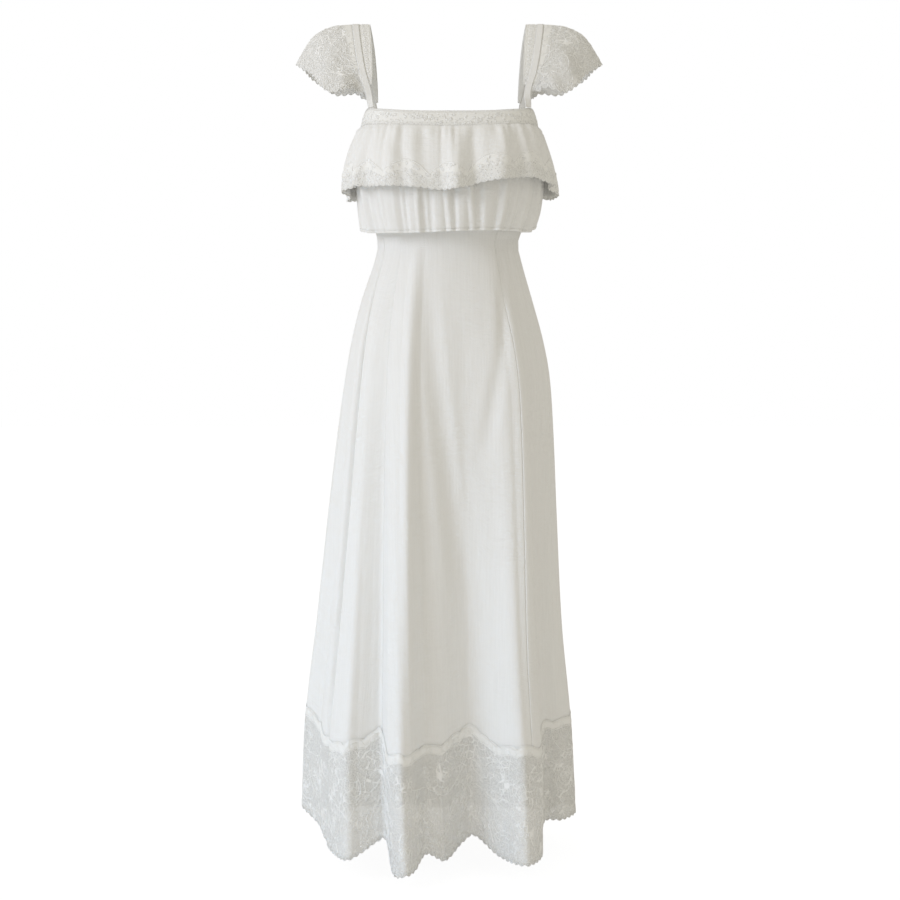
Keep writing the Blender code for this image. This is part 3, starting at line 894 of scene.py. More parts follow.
HALVES = (
    # name, turn from, turn to, then the hem lace's cut width, height and area
    ("front", -SIDE_TURN, SIDE_TURN, 0.86, 0.205, 0.155),
    ("back", SIDE_TURN, SIDE_TURN + 180.0, 0.78, 0.195, 0.150),
)
for half, turn_from, turn_to, lace_width, lace_height, lace_area in HALVES:

    def hem_line(s, t):
        turn = mix(turn_from, turn_to, s)
        return dress_point(turn, 2.0)

    lengths = edge_lengths(hem_line, HEM_STEPS)

    def hem_surface(s, t):
        turn = mix(turn_from, turn_to, s)
        distance = length_at(lengths, s)
        rise = SCALLOP_DEPTH * (1 - abs(sin(pi * distance / SCALLOP_WIDTH)))
        top = lace_top(distance) + lace_rise(turn)
        return dress_point(turn, level_above_hem(turn, mix(top, rise, t)))

    def on_hem_lace(u, v):
        s = share_along(lengths, u)
        return s, 1 - v / (lace_top(u) + lace_rise(mix(turn_from, turn_to, s)))

    node = f"hem_lace_{half}"
    lift = SOLID_CLOTH + SEAM_GAP + LACE_THICKNESS
    lace, hem_sheet = bend_sheet(
        node + "_net", hem_surface, HEM_LACE_COLUMNS, HEM_LACE_ROWS, lift, LACE_THICKNESS, net
    )
    thick, thin = hem_pattern(lengths[-1])
    steps = round(lengths[-1] / TOP_CORD_STEP)
    for below, lines in ((THIN_CORD_BELOW, thin), (SEWING_CORD_BELOW, thick)):
        along_top = []
        for k in range(steps + 1):
            u = lengths[-1] * k / steps
            turn = mix(turn_from, turn_to, share_along(lengths, u))
            along_top.append((u, lace_top(u) + lace_rise(turn) - below))
        lines.append(along_top)
    for k in range(round(lengths[-1] / TOP_ARCH_WIDTH)):
        u = (k + 0.5) * TOP_ARCH_WIDTH
        turn = mix(turn_from, turn_to, share_along(lengths, u))
        v = HEM_LACE_HEIGHT + lace_rise(turn) - TOP_FLOWERS_BELOW
        thin += flower(u, v, TOP_FLOWER_RADIUS, 6, 31 * k)
    cords = lay_cords(node + "_cords", hem_sheet, thick, on_hem_lace, THICK_CORD, 0.0, cord_thread)
    edging = lay_cords(node + "_fillings", hem_sheet, thin, on_hem_lace, THIN_CORD, 0.0, cord_thread)
    for piece in (lace, cords, edging):
        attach(piece, "root")
        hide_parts(node)


# Lace band at the neck
# A narrow strip of dense fine lace on the bodice between the neck edge and the upper ruffle,
# with a row of small flowers and rings. It is sewn flat along both edges.

NECK_EDGE = 0.003
NECK_LAP = 0.0015
NECK_LIFT = 0.0014
NECK_COLUMNS = 220
NECK_ROWS = 10
NECK_BAND_HEIGHT = 0.0195
NECK_FLOWER_SPACING = 0.0040
# The heights between which flowers and rings lie on the band, and their radii
NECK_FLOWERS_AT, NECK_FLOWER_RADII = (0.0030, 0.0165), (0.0018, 0.0028)
NECK_RINGS_AT, NECK_RING = (0.0020, 0.0180), 0.0010

# The same net worked much closer, with little left open: its gaps hold finer threads still. Its
# cells are drawn 3 mm wide.
DENSE_WHITE = "#E9E9E6"
DENSE_CELL = 0.0030
DENSE_THREAD = 0.22
DENSE_SOFTNESS = 0.20
DENSE_GAPS = 0.55

dense_net = net.copy()
dense_net.name = "dense_cotton_net"
dense_nodes = dense_net.node_tree.nodes
dense_nodes["net_cells"].inputs["Scale"].default_value = 1 / DENSE_CELL
dense_nodes["net_threads"].inputs["From Min"].default_value = DENSE_THREAD
dense_nodes["net_threads"].inputs["From Max"].default_value = DENSE_THREAD + DENSE_SOFTNESS
dense_nodes["net_threads"].inputs["To Max"].default_value = DENSE_GAPS
dense_nodes["worked_patches"].inputs["To Max"].default_value = 0.0
dense_nodes["net_white"].inputs[6].default_value = hex_colour(DENSE_WHITE)

for half, turn_from, turn_to, _, _, _ in HALVES:

    def neck_surface(s, t):
        turn = mix(turn_from, turn_to, s)
        top = edge_z(turn, BODICE_TOP) - NECK_EDGE
        bottom = edge_z(turn, UPPER_TOP) - NECK_LAP
        z = mix(top, bottom, t)
        return section_point(turn, z) + outward(turn, z) * NECK_LIFT * t**4

    node = f"neck_lace_{half}"
    lift = SOLID_CLOTH + SEAM_GAP + LACE_THICKNESS
    band, neck_sheet = bend_sheet(
        node + "_net", neck_surface, NECK_COLUMNS, NECK_ROWS, lift, LACE_THICKNESS, dense_net
    )
    lengths = edge_lengths(neck_surface, 120)
    width = lengths[-1]
    pattern = []
    random = Random(11)
    for k in range(int(width / NECK_FLOWER_SPACING)):
        u = (k + random.uniform(0.2, 0.8)) * NECK_FLOWER_SPACING
        v = random.uniform(*NECK_FLOWERS_AT)
        pattern += flower(u, v, random.uniform(*NECK_FLOWER_RADII), 5, 37 * k)
        v = random.uniform(*NECK_RINGS_AT)
        pattern.append(scroll(u + NECK_FLOWER_SPACING / 2, v, NECK_RING, 0, 360, steps=6))

    def on_neck(u, v):
        return share_along(lengths, u), 1 - v / NECK_BAND_HEIGHT

    cords = lay_cords(node + "_cords", neck_sheet, pattern, on_neck, THIN_CORD, 0.0002, cord_thread)
    for piece in (band, cords):
        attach(piece, "root")
        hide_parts(node)


# Lower ruffle
# A strip of the same cotton, gathered lightly onto the bodice under the upper ruffle. Its folds
# lean over like loose pleats, and its hem is rolled and stitched.

RUFFLE_CLOTH = 0.0010
LOWER_FOLDS = 24
LOWER_GATHER_DEPTH = 0.002
LOWER_FOLD_DEPTH = 0.0085
LOWER_FLARE = 0.015
LOWER_LEAN = 0.55
LOWER_COLUMNS = 340
LOWER_ROWS = 14
ROLLED_HEM_WIDTH = 0.0035
ROLLED_HEM = 0.0005
HEM_STITCHES = 190
HEM_STITCH_RADIUS = 0.00025
# How far folds stray from an even spacing: waves round the body, degrees
UNEVEN = ((4, 2.2), (6, -1.5))

# Its loose pleats: ridges and troughs, in degrees and metres, from the gathers (share 0) to
# beyond the hem (share 1)
LOWER_CREASES = (
    # turn from, share from, turn to, share to, depth, width
    (-62.0, -0.20, -64.0, 1.80, 0.0040, 6.0),
    (-52.0, -0.20, -51.0, 1.80, -0.0040, 4.0),
    (-45.0, -0.20, -44.0, 1.80, 0.0035, 3.0),
    (-34.0, -0.20, -33.0, 1.80, 0.0030, 3.5),
    (-27.0, -0.20, -27.5, 1.80, -0.0040, 2.5),
    (-19.5, -0.20, -19.0, 1.80, 0.0035, 2.5),
    (-12.0, -0.20, -10.0, 1.80, -0.0040, 3.0),
    (-2.5, -0.20, 3.5, 1.80, 0.0060, 3.0),
    (2.0, -0.20, 7.5, 1.80, -0.0045, 2.5),
    (11.0, -0.20, 20.0, 1.80, 0.0060, 3.0),
    (15.5, -0.20, 25.0, 1.80, -0.0050, 3.5),
    (34.0, -0.20, 34.0, 1.80, 0.0065, 4.0),
    (39.5, -0.20, 40.0, 1.80, -0.0050, 3.0),
    (49.0, -0.20, 50.0, 1.80, 0.0035, 4.0),
    (62.0, -0.20, 64.0, 1.80, 0.0040, 6.0),
    (97.0, -0.20, 100.0, 1.80, -0.0040, 5.0),
    (121.0, -0.20, 118.0, 1.80, 0.0045, 6.0),
    (143.0, -0.20, 148.0, 1.80, -0.0040, 5.0),
    (166.0, -0.20, 162.0, 1.80, 0.0040, 6.0),
    (-172.0, -0.20, -176.0, 1.80, -0.0040, 5.0),
    (-149.0, -0.20, -144.0, 1.80, 0.0045, 6.0),
    (-126.0, -0.20, -128.0, 1.80, -0.0040, 5.0),
    (-103.0, -0.20, -99.0, 1.80, 0.0040, 6.0),
)


def uneven(turn):
    """Shifts a turn a little, so that gathers and folds aren't all of one width."""
    return turn + sum(degrees * sin(radians(waves * turn)) for waves, degrees in UNEVEN)


def lower_point(turn, share):
    place = uneven(turn)
    z = mix(edge_z(place, LOWER_TOP), edge_z(place, LOWER_HEM), share)
    phase = radians(turn * LOWER_FOLDS)
    fold = 0.5 - 0.5 * cos(phase + LOWER_LEAN * sin(phase))
    size = 0.8 + 0.2 * sin(radians(7 * turn + 10))
    out = mix(LOWER_GATHER_DEPTH, LOWER_FOLD_DEPTH * size, share) * fold
    out += LOWER_FLARE * share + creased(LOWER_CREASES, place, share)
    return section_point(place, z) + outward(place, z) * (SOLID_CLOTH + SEAM_GAP + out)


for half, turn_from, turn_to, _, _, _ in HALVES:

    def lower_surface(s, t):
        return lower_point(mix(turn_from, turn_to, s), t)

    node = f"ruffle_lower_{half}"
    ruffle, lower_sheet = bend_sheet(
        node + "_cloth", lower_surface, LOWER_COLUMNS, LOWER_ROWS, RUFFLE_CLOTH, COTTON_THICKNESS, cotton
    )

    def rolled_surface(s, t):
        turn = mix(turn_from, turn_to, s)
        drop = edge_z(turn, LOWER_TOP) - edge_z(turn, LOWER_HEM)
        point = lower_point(turn, 1 - ROLLED_HEM_WIDTH / drop * (1 - t))
        return point + outward(uneven(turn), point.z) * ROLLED_HEM * sin(pi * t)

    hem, rolled_sheet = bend_sheet(
        node + "_hem", rolled_surface, LOWER_COLUMNS, 4, RUFFLE_CLOTH + 0.0002, COTTON_THICKNESS, cotton
    )
    dashes = [
        [((k + 0.1) / HEM_STITCHES, 0.15), ((k + 0.7) / HEM_STITCHES, 0.15)]
        for k in range(HEM_STITCHES)
    ]
    stitches = lay_cords(
        node + "_stitches",
        rolled_sheet,
        dashes,
        lambda s, t: (s, t),
        HEM_STITCH_RADIUS,
        0.0,
        cord_thread,
    )
    for piece in (ruffle, hem, stitches):
        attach(piece, "root")
        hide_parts(node)


# Upper ruffle
# A deeper, fuller strip of the same cotton. Narrow gathers at its top edge run together into
# wide soft folds at the hem, which carries the lace edging.

UPPER_GATHERS = 36
UPPER_FOLDS = 18
UPPER_GATHER_DEPTH = 0.0045
UPPER_FOLD_DEPTH = 0.013
UPPER_FLARE = 0.023
UPPER_SHIFT = 5.0
UPPER_COLUMNS = 440
UPPER_ROWS = 24
# Small gathers between the larger ones, which die out a third of the way down
FINE_GATHERS = 61
FINE_GATHER_DEPTH = 0.0022
# The share of its height over which the gathers rise from the flat seam
UPPER_SEAM = 0.07

# Its soft folds, some of them slanting: ridges and troughs on the folds of its fullness
UPPER_CREASES = (
    # turn from, share from, turn to, share to, depth, width
    (-74.0, -0.20, -76.0, 1.80, 0.0040, 7.0),
    (-60.0, -0.20, -61.0, 1.80, -0.0030, 5.0),
    (-50.0, -0.20, -50.0, 1.80, -0.0035, 4.0),
    (-42.0, -0.10, -8.0, 1.25, -0.0018, 5.5),
    (-33.0, -0.10, -29.0, 1.80, 0.0045, 6.0),
    (-14.0, -0.30, -13.0, 1.80, -0.0070, 8.0),
    (4.0, -0.20, 5.0, 1.80, 0.0060, 6.0),
    (13.5, -0.20, 13.5, 1.80, -0.0045, 5.0),
    (30.0, -0.20, 29.5, 1.80, 0.0080, 7.5),
    (40.5, -0.20, 40.0, 1.80, -0.0050, 4.0),
    (54.0, -0.20, 56.0, 1.80, 0.0040, 6.0),
    (68.0, -0.20, 70.0, 1.80, -0.0040, 6.0),
    (96.0, -0.20, 93.0, 1.80, 0.0050, 7.0),
    (114.0, -0.20, 119.0, 1.80, -0.0055, 6.0),
    (135.0, -0.20, 131.0, 1.80, 0.0050, 7.0),
    (152.0, -0.20, 156.0, 1.80, -0.0050, 6.0),
    (175.0, -0.20, 172.0, 1.80, 0.0050, 7.0),
    (-164.0, -0.20, -160.0, 1.80, -0.0055, 6.0),
    (-143.0, -0.20, -146.0, 1.80, 0.0050, 7.0),
    (-124.0, -0.20, -120.0, 1.80, -0.0050, 6.0),
    (-101.0, -0.20, -104.0, 1.80, 0.0045, 7.0),
)


def upper_point(turn, share):
    """A point of the upper ruffle. Its troughs rest on the bodice at the top."""
    place = uneven(turn)
    z = mix(edge_z(place, UPPER_TOP), edge_z(place, UPPER_HEM), share)
    shifted = radians(turn + UPPER_SHIFT)
    gather = 0.5 - 0.5 * cos(shifted * UPPER_GATHERS)
    fold = 0.5 - 0.5 * cos(shifted * UPPER_FOLDS)
    size = 0.8 + 0.2 * sin(radians(5 * turn + 40))
    out = UPPER_GATHER_DEPTH * gather * (1 - share) * min(1.0, share / UPPER_SEAM)
    fine = 0.5 - 0.5 * cos(radians((turn + 3 * sin(radians(11 * turn))) * FINE_GATHERS))
    out += FINE_GATHER_DEPTH * fine * (1 - share) ** 2 * min(1.0, share / UPPER_SEAM)
    out += UPPER_FOLD_DEPTH * fold * share * size + UPPER_FLARE * share
    out += creased(UPPER_CREASES, place, share) * min(1.0, share / 0.25)
    return section_point(place, z) + outward(place, z) * (SOLID_CLOTH + SEAM_GAP + out)


for half, turn_from, turn_to, _, _, _ in HALVES:

    def upper_surface(s, t):
        return upper_point(mix(turn_from, turn_to, s), t)

    node = f"ruffle_upper_{half}"
    ruffle, _ = bend_sheet(
        node + "_cloth", upper_surface, UPPER_COLUMNS, UPPER_ROWS, RUFFLE_CLOTH, COTTON_THICKNESS, cotton
    )
    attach(ruffle, "root")
    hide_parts(node)


# Lace edging on the upper ruffle
# A scalloped edging with arches along its top, sewn over the ruffle's hem and hanging a little
# below it. A thick thread outlines each arch, and worked rings and flowers fill it.

ARCHES = 16
ARCH_LOW = 0.020
ARCH_HIGH = 0.040
EDGING_DROP = 0.004
EDGING_SCALLOP = 0.0020
EDGING_COLUMNS = 440
EDGING_ROWS = 8
EDGING_FLOWER_SPACING = 0.0027
EDGING_STEPS = 360
ARCH_LINE_STEPS = 480
ARCH_CORD = 0.0008
EDGING_FLOWERS_FROM = 0.010
EDGING_FLOWERS_BELOW_TOP = 0.003
EDGING_FLOWER_RADII = (0.0020, 0.0034)
EDGING_LOOPS, EDGING_RINGS = 0.0062, 0.0110

for half, turn_from, turn_to, _, _, _ in HALVES:

    def edging_height(turn):
        return mix(ARCH_LOW, ARCH_HIGH, abs(cos(radians(turn * ARCHES / 2)))) + EDGING_DROP

    def edging_line(s, t):
        return upper_point(mix(turn_from, turn_to, s), 1.0)

    lengths = edge_lengths(edging_line, EDGING_STEPS)

    def edging_surface(s, t):
        turn = mix(turn_from, turn_to, s)
        place = uneven(turn)
        drop = edge_z(place, UPPER_TOP) - edge_z(place, UPPER_HEM)
        distance = length_at(lengths, s)
        rise = EDGING_SCALLOP * (1 - abs(sin(pi * distance / SCALLOP_WIDTH)))
        height = mix(edging_height(turn), rise, t) - EDGING_DROP
        return upper_point(turn, 1 - height / drop)

    def on_edging(u, v):
        s = share_along(lengths, u)
        return s, 1 - v / edging_height(mix(turn_from, turn_to, s))

    node = f"ruffle_lace_{half}"
    lift = RUFFLE_CLOTH + SEAM_GAP + LACE_THICKNESS
    edging, edging_sheet = bend_sheet(
        node + "_net", edging_surface, EDGING_COLUMNS, EDGING_ROWS, lift, LACE_THICKNESS, dense_net
    )
    width = lengths[-1]
    pattern = []
    random = Random(7)
    for k in range(int(width / EDGING_FLOWER_SPACING)):
        u = (k + 0.5) * EDGING_FLOWER_SPACING
        top = edging_height(mix(turn_from, turn_to, share_along(lengths, u)))
        v = random.uniform(EDGING_FLOWERS_FROM, top - EDGING_FLOWERS_BELOW_TOP)
        pattern += flower(u, v, random.uniform(*EDGING_FLOWER_RADII), 5, 40 * k)
    pattern += scalloped(width, EDGING_LOOPS, EDGING_RINGS)
    arch_line = []
    for k in range(ARCH_LINE_STEPS + 1):
        u = width * k / ARCH_LINE_STEPS
        turn = mix(turn_from, turn_to, share_along(lengths, u))
        arch_line.append((u, edging_height(turn) * 0.975))
    cords = lay_cords(node + "_cords", edging_sheet, pattern, on_edging, THIN_CORD, 0.0001, cord_thread)
    outline = lay_cords(
        node + "_outline", edging_sheet, [arch_line], on_edging, ARCH_CORD, 0.0, cord_thread
    )
    for piece in (edging, cords, outline):
        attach(piece, "root")
        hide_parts(node)


# Shoulder straps
# Two narrow straps of doubled cotton from the bodice's front edge over the shoulder to the back,
# topstitched along both sides.

STRAP_WIDTH = 0.011
SOLID_STRAP = 0.0015
STRAP_THICKNESS = 0.0008
STRAP_LIFT = 0.0007
FRONT_STRAP_TURN = 55.0
BACK_STRAP_TURN = 127.0
STRAP_TOP_X = 0.152
STRAP_COLUMNS = 160
STRAP_ROWS = 6
STRAP_STITCHES = 120
STRAP_STITCH_RADIUS = 0.0003

# The right strap's middle line between its two ends, the back rising like the front
STRAP_PATH = (
    # share of the way, x, y, z
    (0.10, 0.1290, -0.0680, -0.115),
    (0.23, 0.1390, -0.0640, -0.080),
    (0.36, 0.1470, -0.0430, -0.035),
    (0.50, STRAP_TOP_X, 0.0000, 0.000),
    (0.64, 0.1460, 0.0440, -0.035),
    (0.77, 0.1370, 0.0660, -0.085),
    (0.90, 0.1260, 0.0720, -0.130),
)


def top_edge(turn):
    """A point of the bodice's top edge."""
    return section_point(turn, edge_z(turn, BODICE_TOP))


def strap_line(side, share):
    """The middle line of a strap, from its front end to its back end."""
    lift = Vector((0, 0, STRAP_LIFT))
    rows = [(0.0, *(top_edge(side * FRONT_STRAP_TURN) + lift))]
    rows += [(share_on, side * x, y, z) for share_on, x, y, z in STRAP_PATH]
    rows += [(1.0, *(top_edge(side * BACK_STRAP_TURN) + lift))]
    return Vector([along(rows, k, share) for k in (1, 2, 3)])


@lru_cache(maxsize=None)
def strap_across(side, share):
    """The strap's width direction, outwards: half turned to the bodice's edge at its ends."""
    turn = FRONT_STRAP_TURN if share < 0.5 else BACK_STRAP_TURN
    edge = (top_edge(side * (turn + 1)) - top_edge(side * (turn - 1))).normalized()
    if share > 0.5:
        edge.negate()
    lean = mix(0.5, 1.0, 0.5 - 0.5 * cos(pi * min(1.0, 10 * min(share, 1 - share))))
    step = 1e-3
    ahead = strap_line(side, min(share + step, 1)) - strap_line(side, max(share - step, 0))
    level = edge.lerp(Vector((side, 0, 0)), lean)
    level -= ahead * level.dot(ahead) / ahead.dot(ahead) * lean
    return level.normalized()


@lru_cache(maxsize=None)
def strap_middle(side, share):
    return strap_line(side, share)


def strap_point(side, share, offset):
    """A point this far out from the strap's middle line, in the strap's own plane."""
    return strap_middle(side, share) + strap_across(side, share) * offset


def sided(surface, side):
    """Runs a surface the other way across on the left, so that its outside stays outside."""
    return surface if side > 0 else lambda s, t: surface(1 - s, t)


SIDES = (
    # word, side, how far the sleeve reaches out
    ("left", -1, 1.0),
    ("right", 1, 1.04),
)
for word, side, _ in SIDES:

    def strap_surface(s, t):
        return strap_point(side, s, mix(-0.5, 0.5, t) * STRAP_WIDTH)

    node = f"strap_{word}"
    strap, strap_sheet = bend_sheet(
        node + "_cloth",
        sided(strap_surface, side),
        STRAP_COLUMNS,
        STRAP_ROWS,
        SOLID_STRAP,
        STRAP_THICKNESS,
        cotton,
    )
    rows_of_stitches = []
    for across in (0.12, 0.88):
        for k in range(STRAP_STITCHES):
            start, end = (k + 0.1) / STRAP_STITCHES, (k + 0.75) / STRAP_STITCHES
            rows_of_stitches.append([(start, across), (end, across)])
    stitches = lay_cords(
        node + "_stitches",
        strap_sheet,
        rows_of_stitches,
        lambda s, t: (s, t),
        STRAP_STITCH_RADIUS,
        0.0,
        cord_thread,
    )
    for piece in (strap, stitches):
        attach(piece, "root")
        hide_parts(node)


# Lace strip on each strap
# A narrow scalloped lace sewn along the strap's inner edge, widest over the collarbone, with a
# bright cord on its free edge.

STRAP_LAP = 0.002
UNDER_STRAP = 0.0006
STRAP_LACE_START = 0.13
STRAP_LACE_END = 0.87
STRAP_LACE_COLUMNS = 120
STRAP_LACE_ROWS = 6
STRAP_LACE_LENGTH = 0.30
STRAP_LACE_WIDTH = 0.018
STRAP_LACE_FLOWERS = 34
STRAP_LACE_CORD = 0.0005
STRAP_LACE = (
    # share of the way, width
    (0.00, 0.003),
    (0.12, 0.011),
    (0.30, 0.017),
    (0.50, 0.018),
    (0.70, 0.017),
    (0.88, 0.011),
    (1.00, 0.003),
)
for word, side, _ in SIDES:

    def strip_surface(s, t):
        share = mix(STRAP_LACE_START, STRAP_LACE_END, s)
        outer = -STRAP_WIDTH / 2 + STRAP_LAP
        return strap_point(side, share, mix(outer - STRAP_LAP - along(STRAP_LACE, 1, s), outer, t))

    node = f"strap_lace_{word}"
    strip, strip_sheet = bend_sheet(
        node + "_net",
        sided(strip_surface, side),
        STRAP_LACE_COLUMNS,
        STRAP_LACE_ROWS,
        UNDER_STRAP,
        LACE_THICKNESS,
        dense_net,
    )
    pattern = [[(k / 160, v) for k in range(161)] for v in (0.03, 0.16)]
    for k in range(STRAP_LACE_FLOWERS):
        here = (k + 0.5) / STRAP_LACE_FLOWERS * STRAP_LACE_LENGTH
        between = (k + 1) / STRAP_LACE_FLOWERS * STRAP_LACE_LENGTH
        flowers = flower(here, 0.0100, 0.0038, 5, 25 * k)
        flowers.append(scroll(between, 0.0052, 0.0015, 0, 360, steps=6))
        for line in flowers:
            pattern.append([(u / STRAP_LACE_LENGTH, v / STRAP_LACE_WIDTH) for u, v in line])
    cords = lay_cords(
        node + "_cords", strip_sheet, pattern, lambda s, t: (s, t), STRAP_LACE_CORD, 0.0001, cord_thread
    )
    for piece in (strip, cords):
        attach(piece, "root")
        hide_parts(node)


# Cap sleeves
# A fan of the flounce lace, lightly gathered into the strap's outer edge. It leaves the strap
# level and droops to a scalloped free edge over the top of the arm.

SLEEVE_START = 0.10
SLEEVE_END = 0.85
SHOULDER_Z = -0.10
SLEEVE_FULLNESS = 1.6
SLEEVE_DROOP = 0.8
SLEEVE_RIPPLES = 7
SLEEVE_RIPPLE_DEPTH = 0.003
SLEEVE_SCALLOP = 0.0024
SLEEVE_COLUMNS = 200
SLEEVE_ROWS = 26
SLEEVE_STEPS = 200
SLEEVE_RINGS_TOP = 0.11
SLEEVE_RING_SPACING = 0.012
SLEEVE_CORD = 0.00055
# How much longer the bowed sleeve is than a straight line across it
SLEEVE_BOW = 1.15

# The right cap sleeve's free edge
SLEEVE_EDGE = (
    # share of the way, x, y, z
    (0.00, 0.1470, -0.068, -0.118),
    (0.12, 0.1600, -0.080, -0.113),
    (0.25, 0.1890, -0.082, -0.121),
    (0.33, 0.2070, -0.066, -0.106),
    (0.42, 0.2290, -0.036, -0.083),
    (0.50, 0.2510, 0.000, -0.066),
    (0.58, 0.2330, 0.036, -0.080),
    (0.67, 0.2110, 0.066, -0.096),
    (0.76, 0.1890, 0.082, -0.106),
    (0.88, 0.1580, 0.082, -0.104),
    (1.00, 0.1470, 0.072, -0.112),
)

# The sleeve's pattern in millimetres of flat lace: u runs along the free edge from front to
# back, and v is the height above that edge
SLEEVE_SCROLLS = (
    # u, v, radius, start, sweep, pull
    (60, 50, 22, 200, 280, 0.80),
    (120, 36, 20, 20, 300, 0.75),
    (165, 58, 24, 150, 270, 0.80),
    (215, 34, 18, 250, 290, 0.75),
    (262, 54, 20, 60, 280, 0.75),
    (110, 84, 14, 300, 240, 0.80),
    (205, 84, 14, 100, 240, 0.80),
)
SLEEVE_FLOWERS = (
    # u, v, radius, petals, turn
    (60, 50, 12, 6, 10),
    (165, 58, 13, 6, 0),
    (215, 34, 9, 5, 30),
    (262, 54, 11, 5, 20),
    (120, 36, 10, 5, 45),
)
SLEEVE_STEMS = (
    # u from, v from, u to, v to, bow, leaves, leaf length
    (24, 24, 90, 92, 0.18, 8, 10),
    (86, 20, 150, 92, -0.16, 8, 11),
    (180, 18, 240, 84, 0.18, 8, 10),
    (240, 22, 300, 70, -0.18, 7, 10),
    (140, 96, 196, 92, 0.20, 5, 9),
)

for word, side, reach in SIDES:
    shoulder = Vector((side * STRAP_TOP_X, 0, SHOULDER_Z))

    def sleeve_edge(s):
        edge = Vector([along(SLEEVE_EDGE, k, s) for k in (1, 2, 3)])
        edge.x = side * mix(STRAP_TOP_X, edge.x, reach)
        return edge

    lengths = edge_lengths(lambda s, t: sleeve_edge(s), SLEEVE_STEPS)

    def sleeve_surface(s, t):
        share = mix(SLEEVE_START, SLEEVE_END, s)
        seam = strap_point(side, share, STRAP_WIDTH / 2 - STRAP_LAP)
        edge = sleeve_edge(s)
        distance = length_at(lengths, s)
        rise = SLEEVE_SCALLOP * (1 - abs(sin(pi * distance / SCALLOP_WIDTH)))
        span = (edge - seam).length
        t = t * (1 - rise / max(span, 0.01))
        leaving = strap_across(side, share) * span * SLEEVE_FULLNESS
        falling = (edge - seam - Vector((0, 0, span))) * SLEEVE_DROOP
        point = seam.lerp(edge, (3 - 2 * t) * t * t)
        point += leaving * (t * (1 - t) ** 2) - falling * (t * t * (1 - t))
        ripple = SLEEVE_RIPPLE_DEPTH * sin(2 * pi * SLEEVE_RIPPLES * s) * sin(pi * s) * t
        return point + (point - shoulder).normalized() * ripple

    def on_sleeve(u, v):
        s = share_along(lengths, u)
        seam = strap_point(side, mix(SLEEVE_START, SLEEVE_END, min(max(s, 0), 1)), STRAP_WIDTH / 2)
        span = max((sleeve_edge(s) - seam).length * SLEEVE_BOW, 0.01)
        return (s if side > 0 else 1 - s), 1 - v / span

    node = f"sleeve_{word}"
    sleeve, sleeve_sheet = bend_sheet(
        node + "_net",
        sided(sleeve_surface, side),
        SLEEVE_COLUMNS,
        SLEEVE_ROWS,
        UNDER_STRAP,
        LACE_THICKNESS,
        net,
    )
    drawn = [scroll(*row) for row in SLEEVE_SCROLLS]
    for row in SLEEVE_FLOWERS:
        drawn += flower(*row)
    for row in SLEEVE_STEMS:
        drawn += stem(*row)
    pattern = [[(u / 1000, v / 1000) for u, v in line] for line in drawn]
    pattern += scattered_rings(lengths[-1], SLEEVE_RINGS_TOP, SLEEVE_RING_SPACING, 5)
    pattern += scalloped(lengths[-1], SCALLOP_LOOPS, SCALLOP_RINGS)
    cords = lay_cords(
        node + "_cords", sleeve_sheet, pattern, on_sleeve, SLEEVE_CORD, 0.0002, cord_thread
    )
    for piece in (sleeve, cords):
        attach(piece, "root")
        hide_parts(node)


# Studio
# A plain white floor in a warm white room, with the soft light of two cool windows at the left
# of the camera, one above the other.

FLOOR_Z = -1.43
OVEREXPOSURE = 1.1
OVEREXPOSED_SHARE = 0.86
ROOM_LIGHT = 0.64
ROOM_COLOUR = (1.0, 0.955, 0.85, 1)
CAMERA_TILT = 6.288

floor_mesh = bmesh.new()
bmesh.ops.create_grid(floor_mesh, x_segments=1, y_segments=1, size=8.0)
bmesh.ops.translate(floor_mesh, vec=(0, 0, FLOOR_Z), verts=floor_mesh.verts[:])
floor_data = bpy.data.meshes.new("floor")
floor_mesh.to_mesh(floor_data)
floor_mesh.free()
floor = bpy.data.objects.new("floor", floor_data)
bpy.context.scene.collection.objects.link(floor)
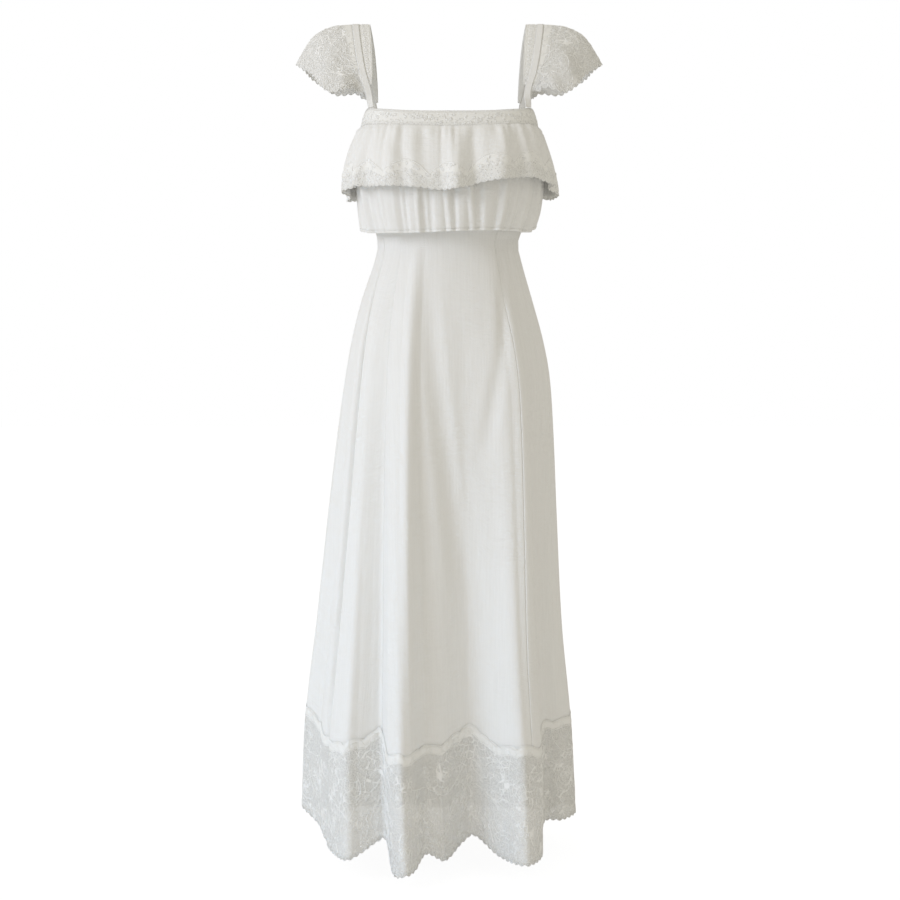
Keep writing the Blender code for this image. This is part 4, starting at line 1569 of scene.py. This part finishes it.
# White paper, overexposed as a studio floor is, so that only a faint shadow shows on it
paper = bpy.data.materials.new("white_paper")
paper.use_nodes = True
tree = paper.node_tree
tree.nodes.clear()
sheet_of_paper = add_node(tree, "ShaderNodeBsdfDiffuse", {"Color": hex_colour("#F2F2F2")})
overexposed = add_node(tree, "ShaderNodeEmission", {"Color": (1, 1, 1, 1), "Strength": OVEREXPOSURE})
seen = add_node(tree, "ShaderNodeLightPath").outputs["Is Camera Ray"]
bright = add_node(tree, "ShaderNodeMath", {0: seen, 1: OVEREXPOSED_SHARE}, operation="MULTIPLY")
both = add_node(
    tree,
    "ShaderNodeMixShader",
    {0: bright.outputs[0], 1: sheet_of_paper.outputs[0], 2: overexposed.outputs[0]},
)
add_node(tree, "ShaderNodeOutputMaterial", {"Surface": both.outputs[0]})
floor_data.materials.append(paper)

world = bpy.data.worlds.new("studio")
world.use_nodes = True
bpy.context.scene.world = world
tree = world.node_tree
tree.nodes.clear()
room = add_node(tree, "ShaderNodeBackground", {"Color": ROOM_COLOUR, "Strength": ROOM_LIGHT})
backdrop = add_node(tree, "ShaderNodeBackground", {"Color": (1, 1, 1, 1), "Strength": 1.0})
seen = add_node(tree, "ShaderNodeLightPath").outputs["Is Camera Ray"]
both = add_node(tree, "ShaderNodeMixShader", {0: seen, 1: room.outputs[0], 2: backdrop.outputs[0]})
add_node(tree, "ShaderNodeOutputWorld", {"Surface": both.outputs[0]})

SOFTBOXES = (
    # name, place, what it faces, width, spread, power, colour
    ("upper_window", (-2.6, -1.7, 0.8), (0, 0, -0.5), 1.4, 180, 38.0, "#EFF2FF"),
    ("lower_window", (-2.7, -1.5, -0.9), (0, 0, -1.30), 1.0, 50, 1.3, "#A8D4FF"),
)
for name, place, target, width, spread, power, colour in SOFTBOXES:
    lamp_data = bpy.data.lights.new(name, "AREA")
    lamp_data.size = width
    lamp_data.spread = radians(spread)
    lamp_data.energy = power
    lamp_data.color = hex_colour(colour)[:3]
    lamp = bpy.data.objects.new(name, lamp_data)
    lamp.location = place
    lamp.rotation_euler = (Vector(target) - Vector(place)).to_track_quat("-Z", "Y").to_euler()
    lamp.visible_camera = False
    bpy.context.scene.collection.objects.link(lamp)

camera_data = bpy.data.cameras.new("camera")
camera_data.lens = 61.45
camera_data.sensor_width = 36.0
camera = bpy.data.objects.new("camera", camera_data)
camera.location = (0.0034, -2.6, -0.42)
camera.rotation_euler = (radians(90 - CAMERA_TILT), 0, 0)
bpy.context.scene.collection.objects.link(camera)
bpy.context.scene.camera = camera
bpy.context.scene.view_settings.view_transform = "Standard"
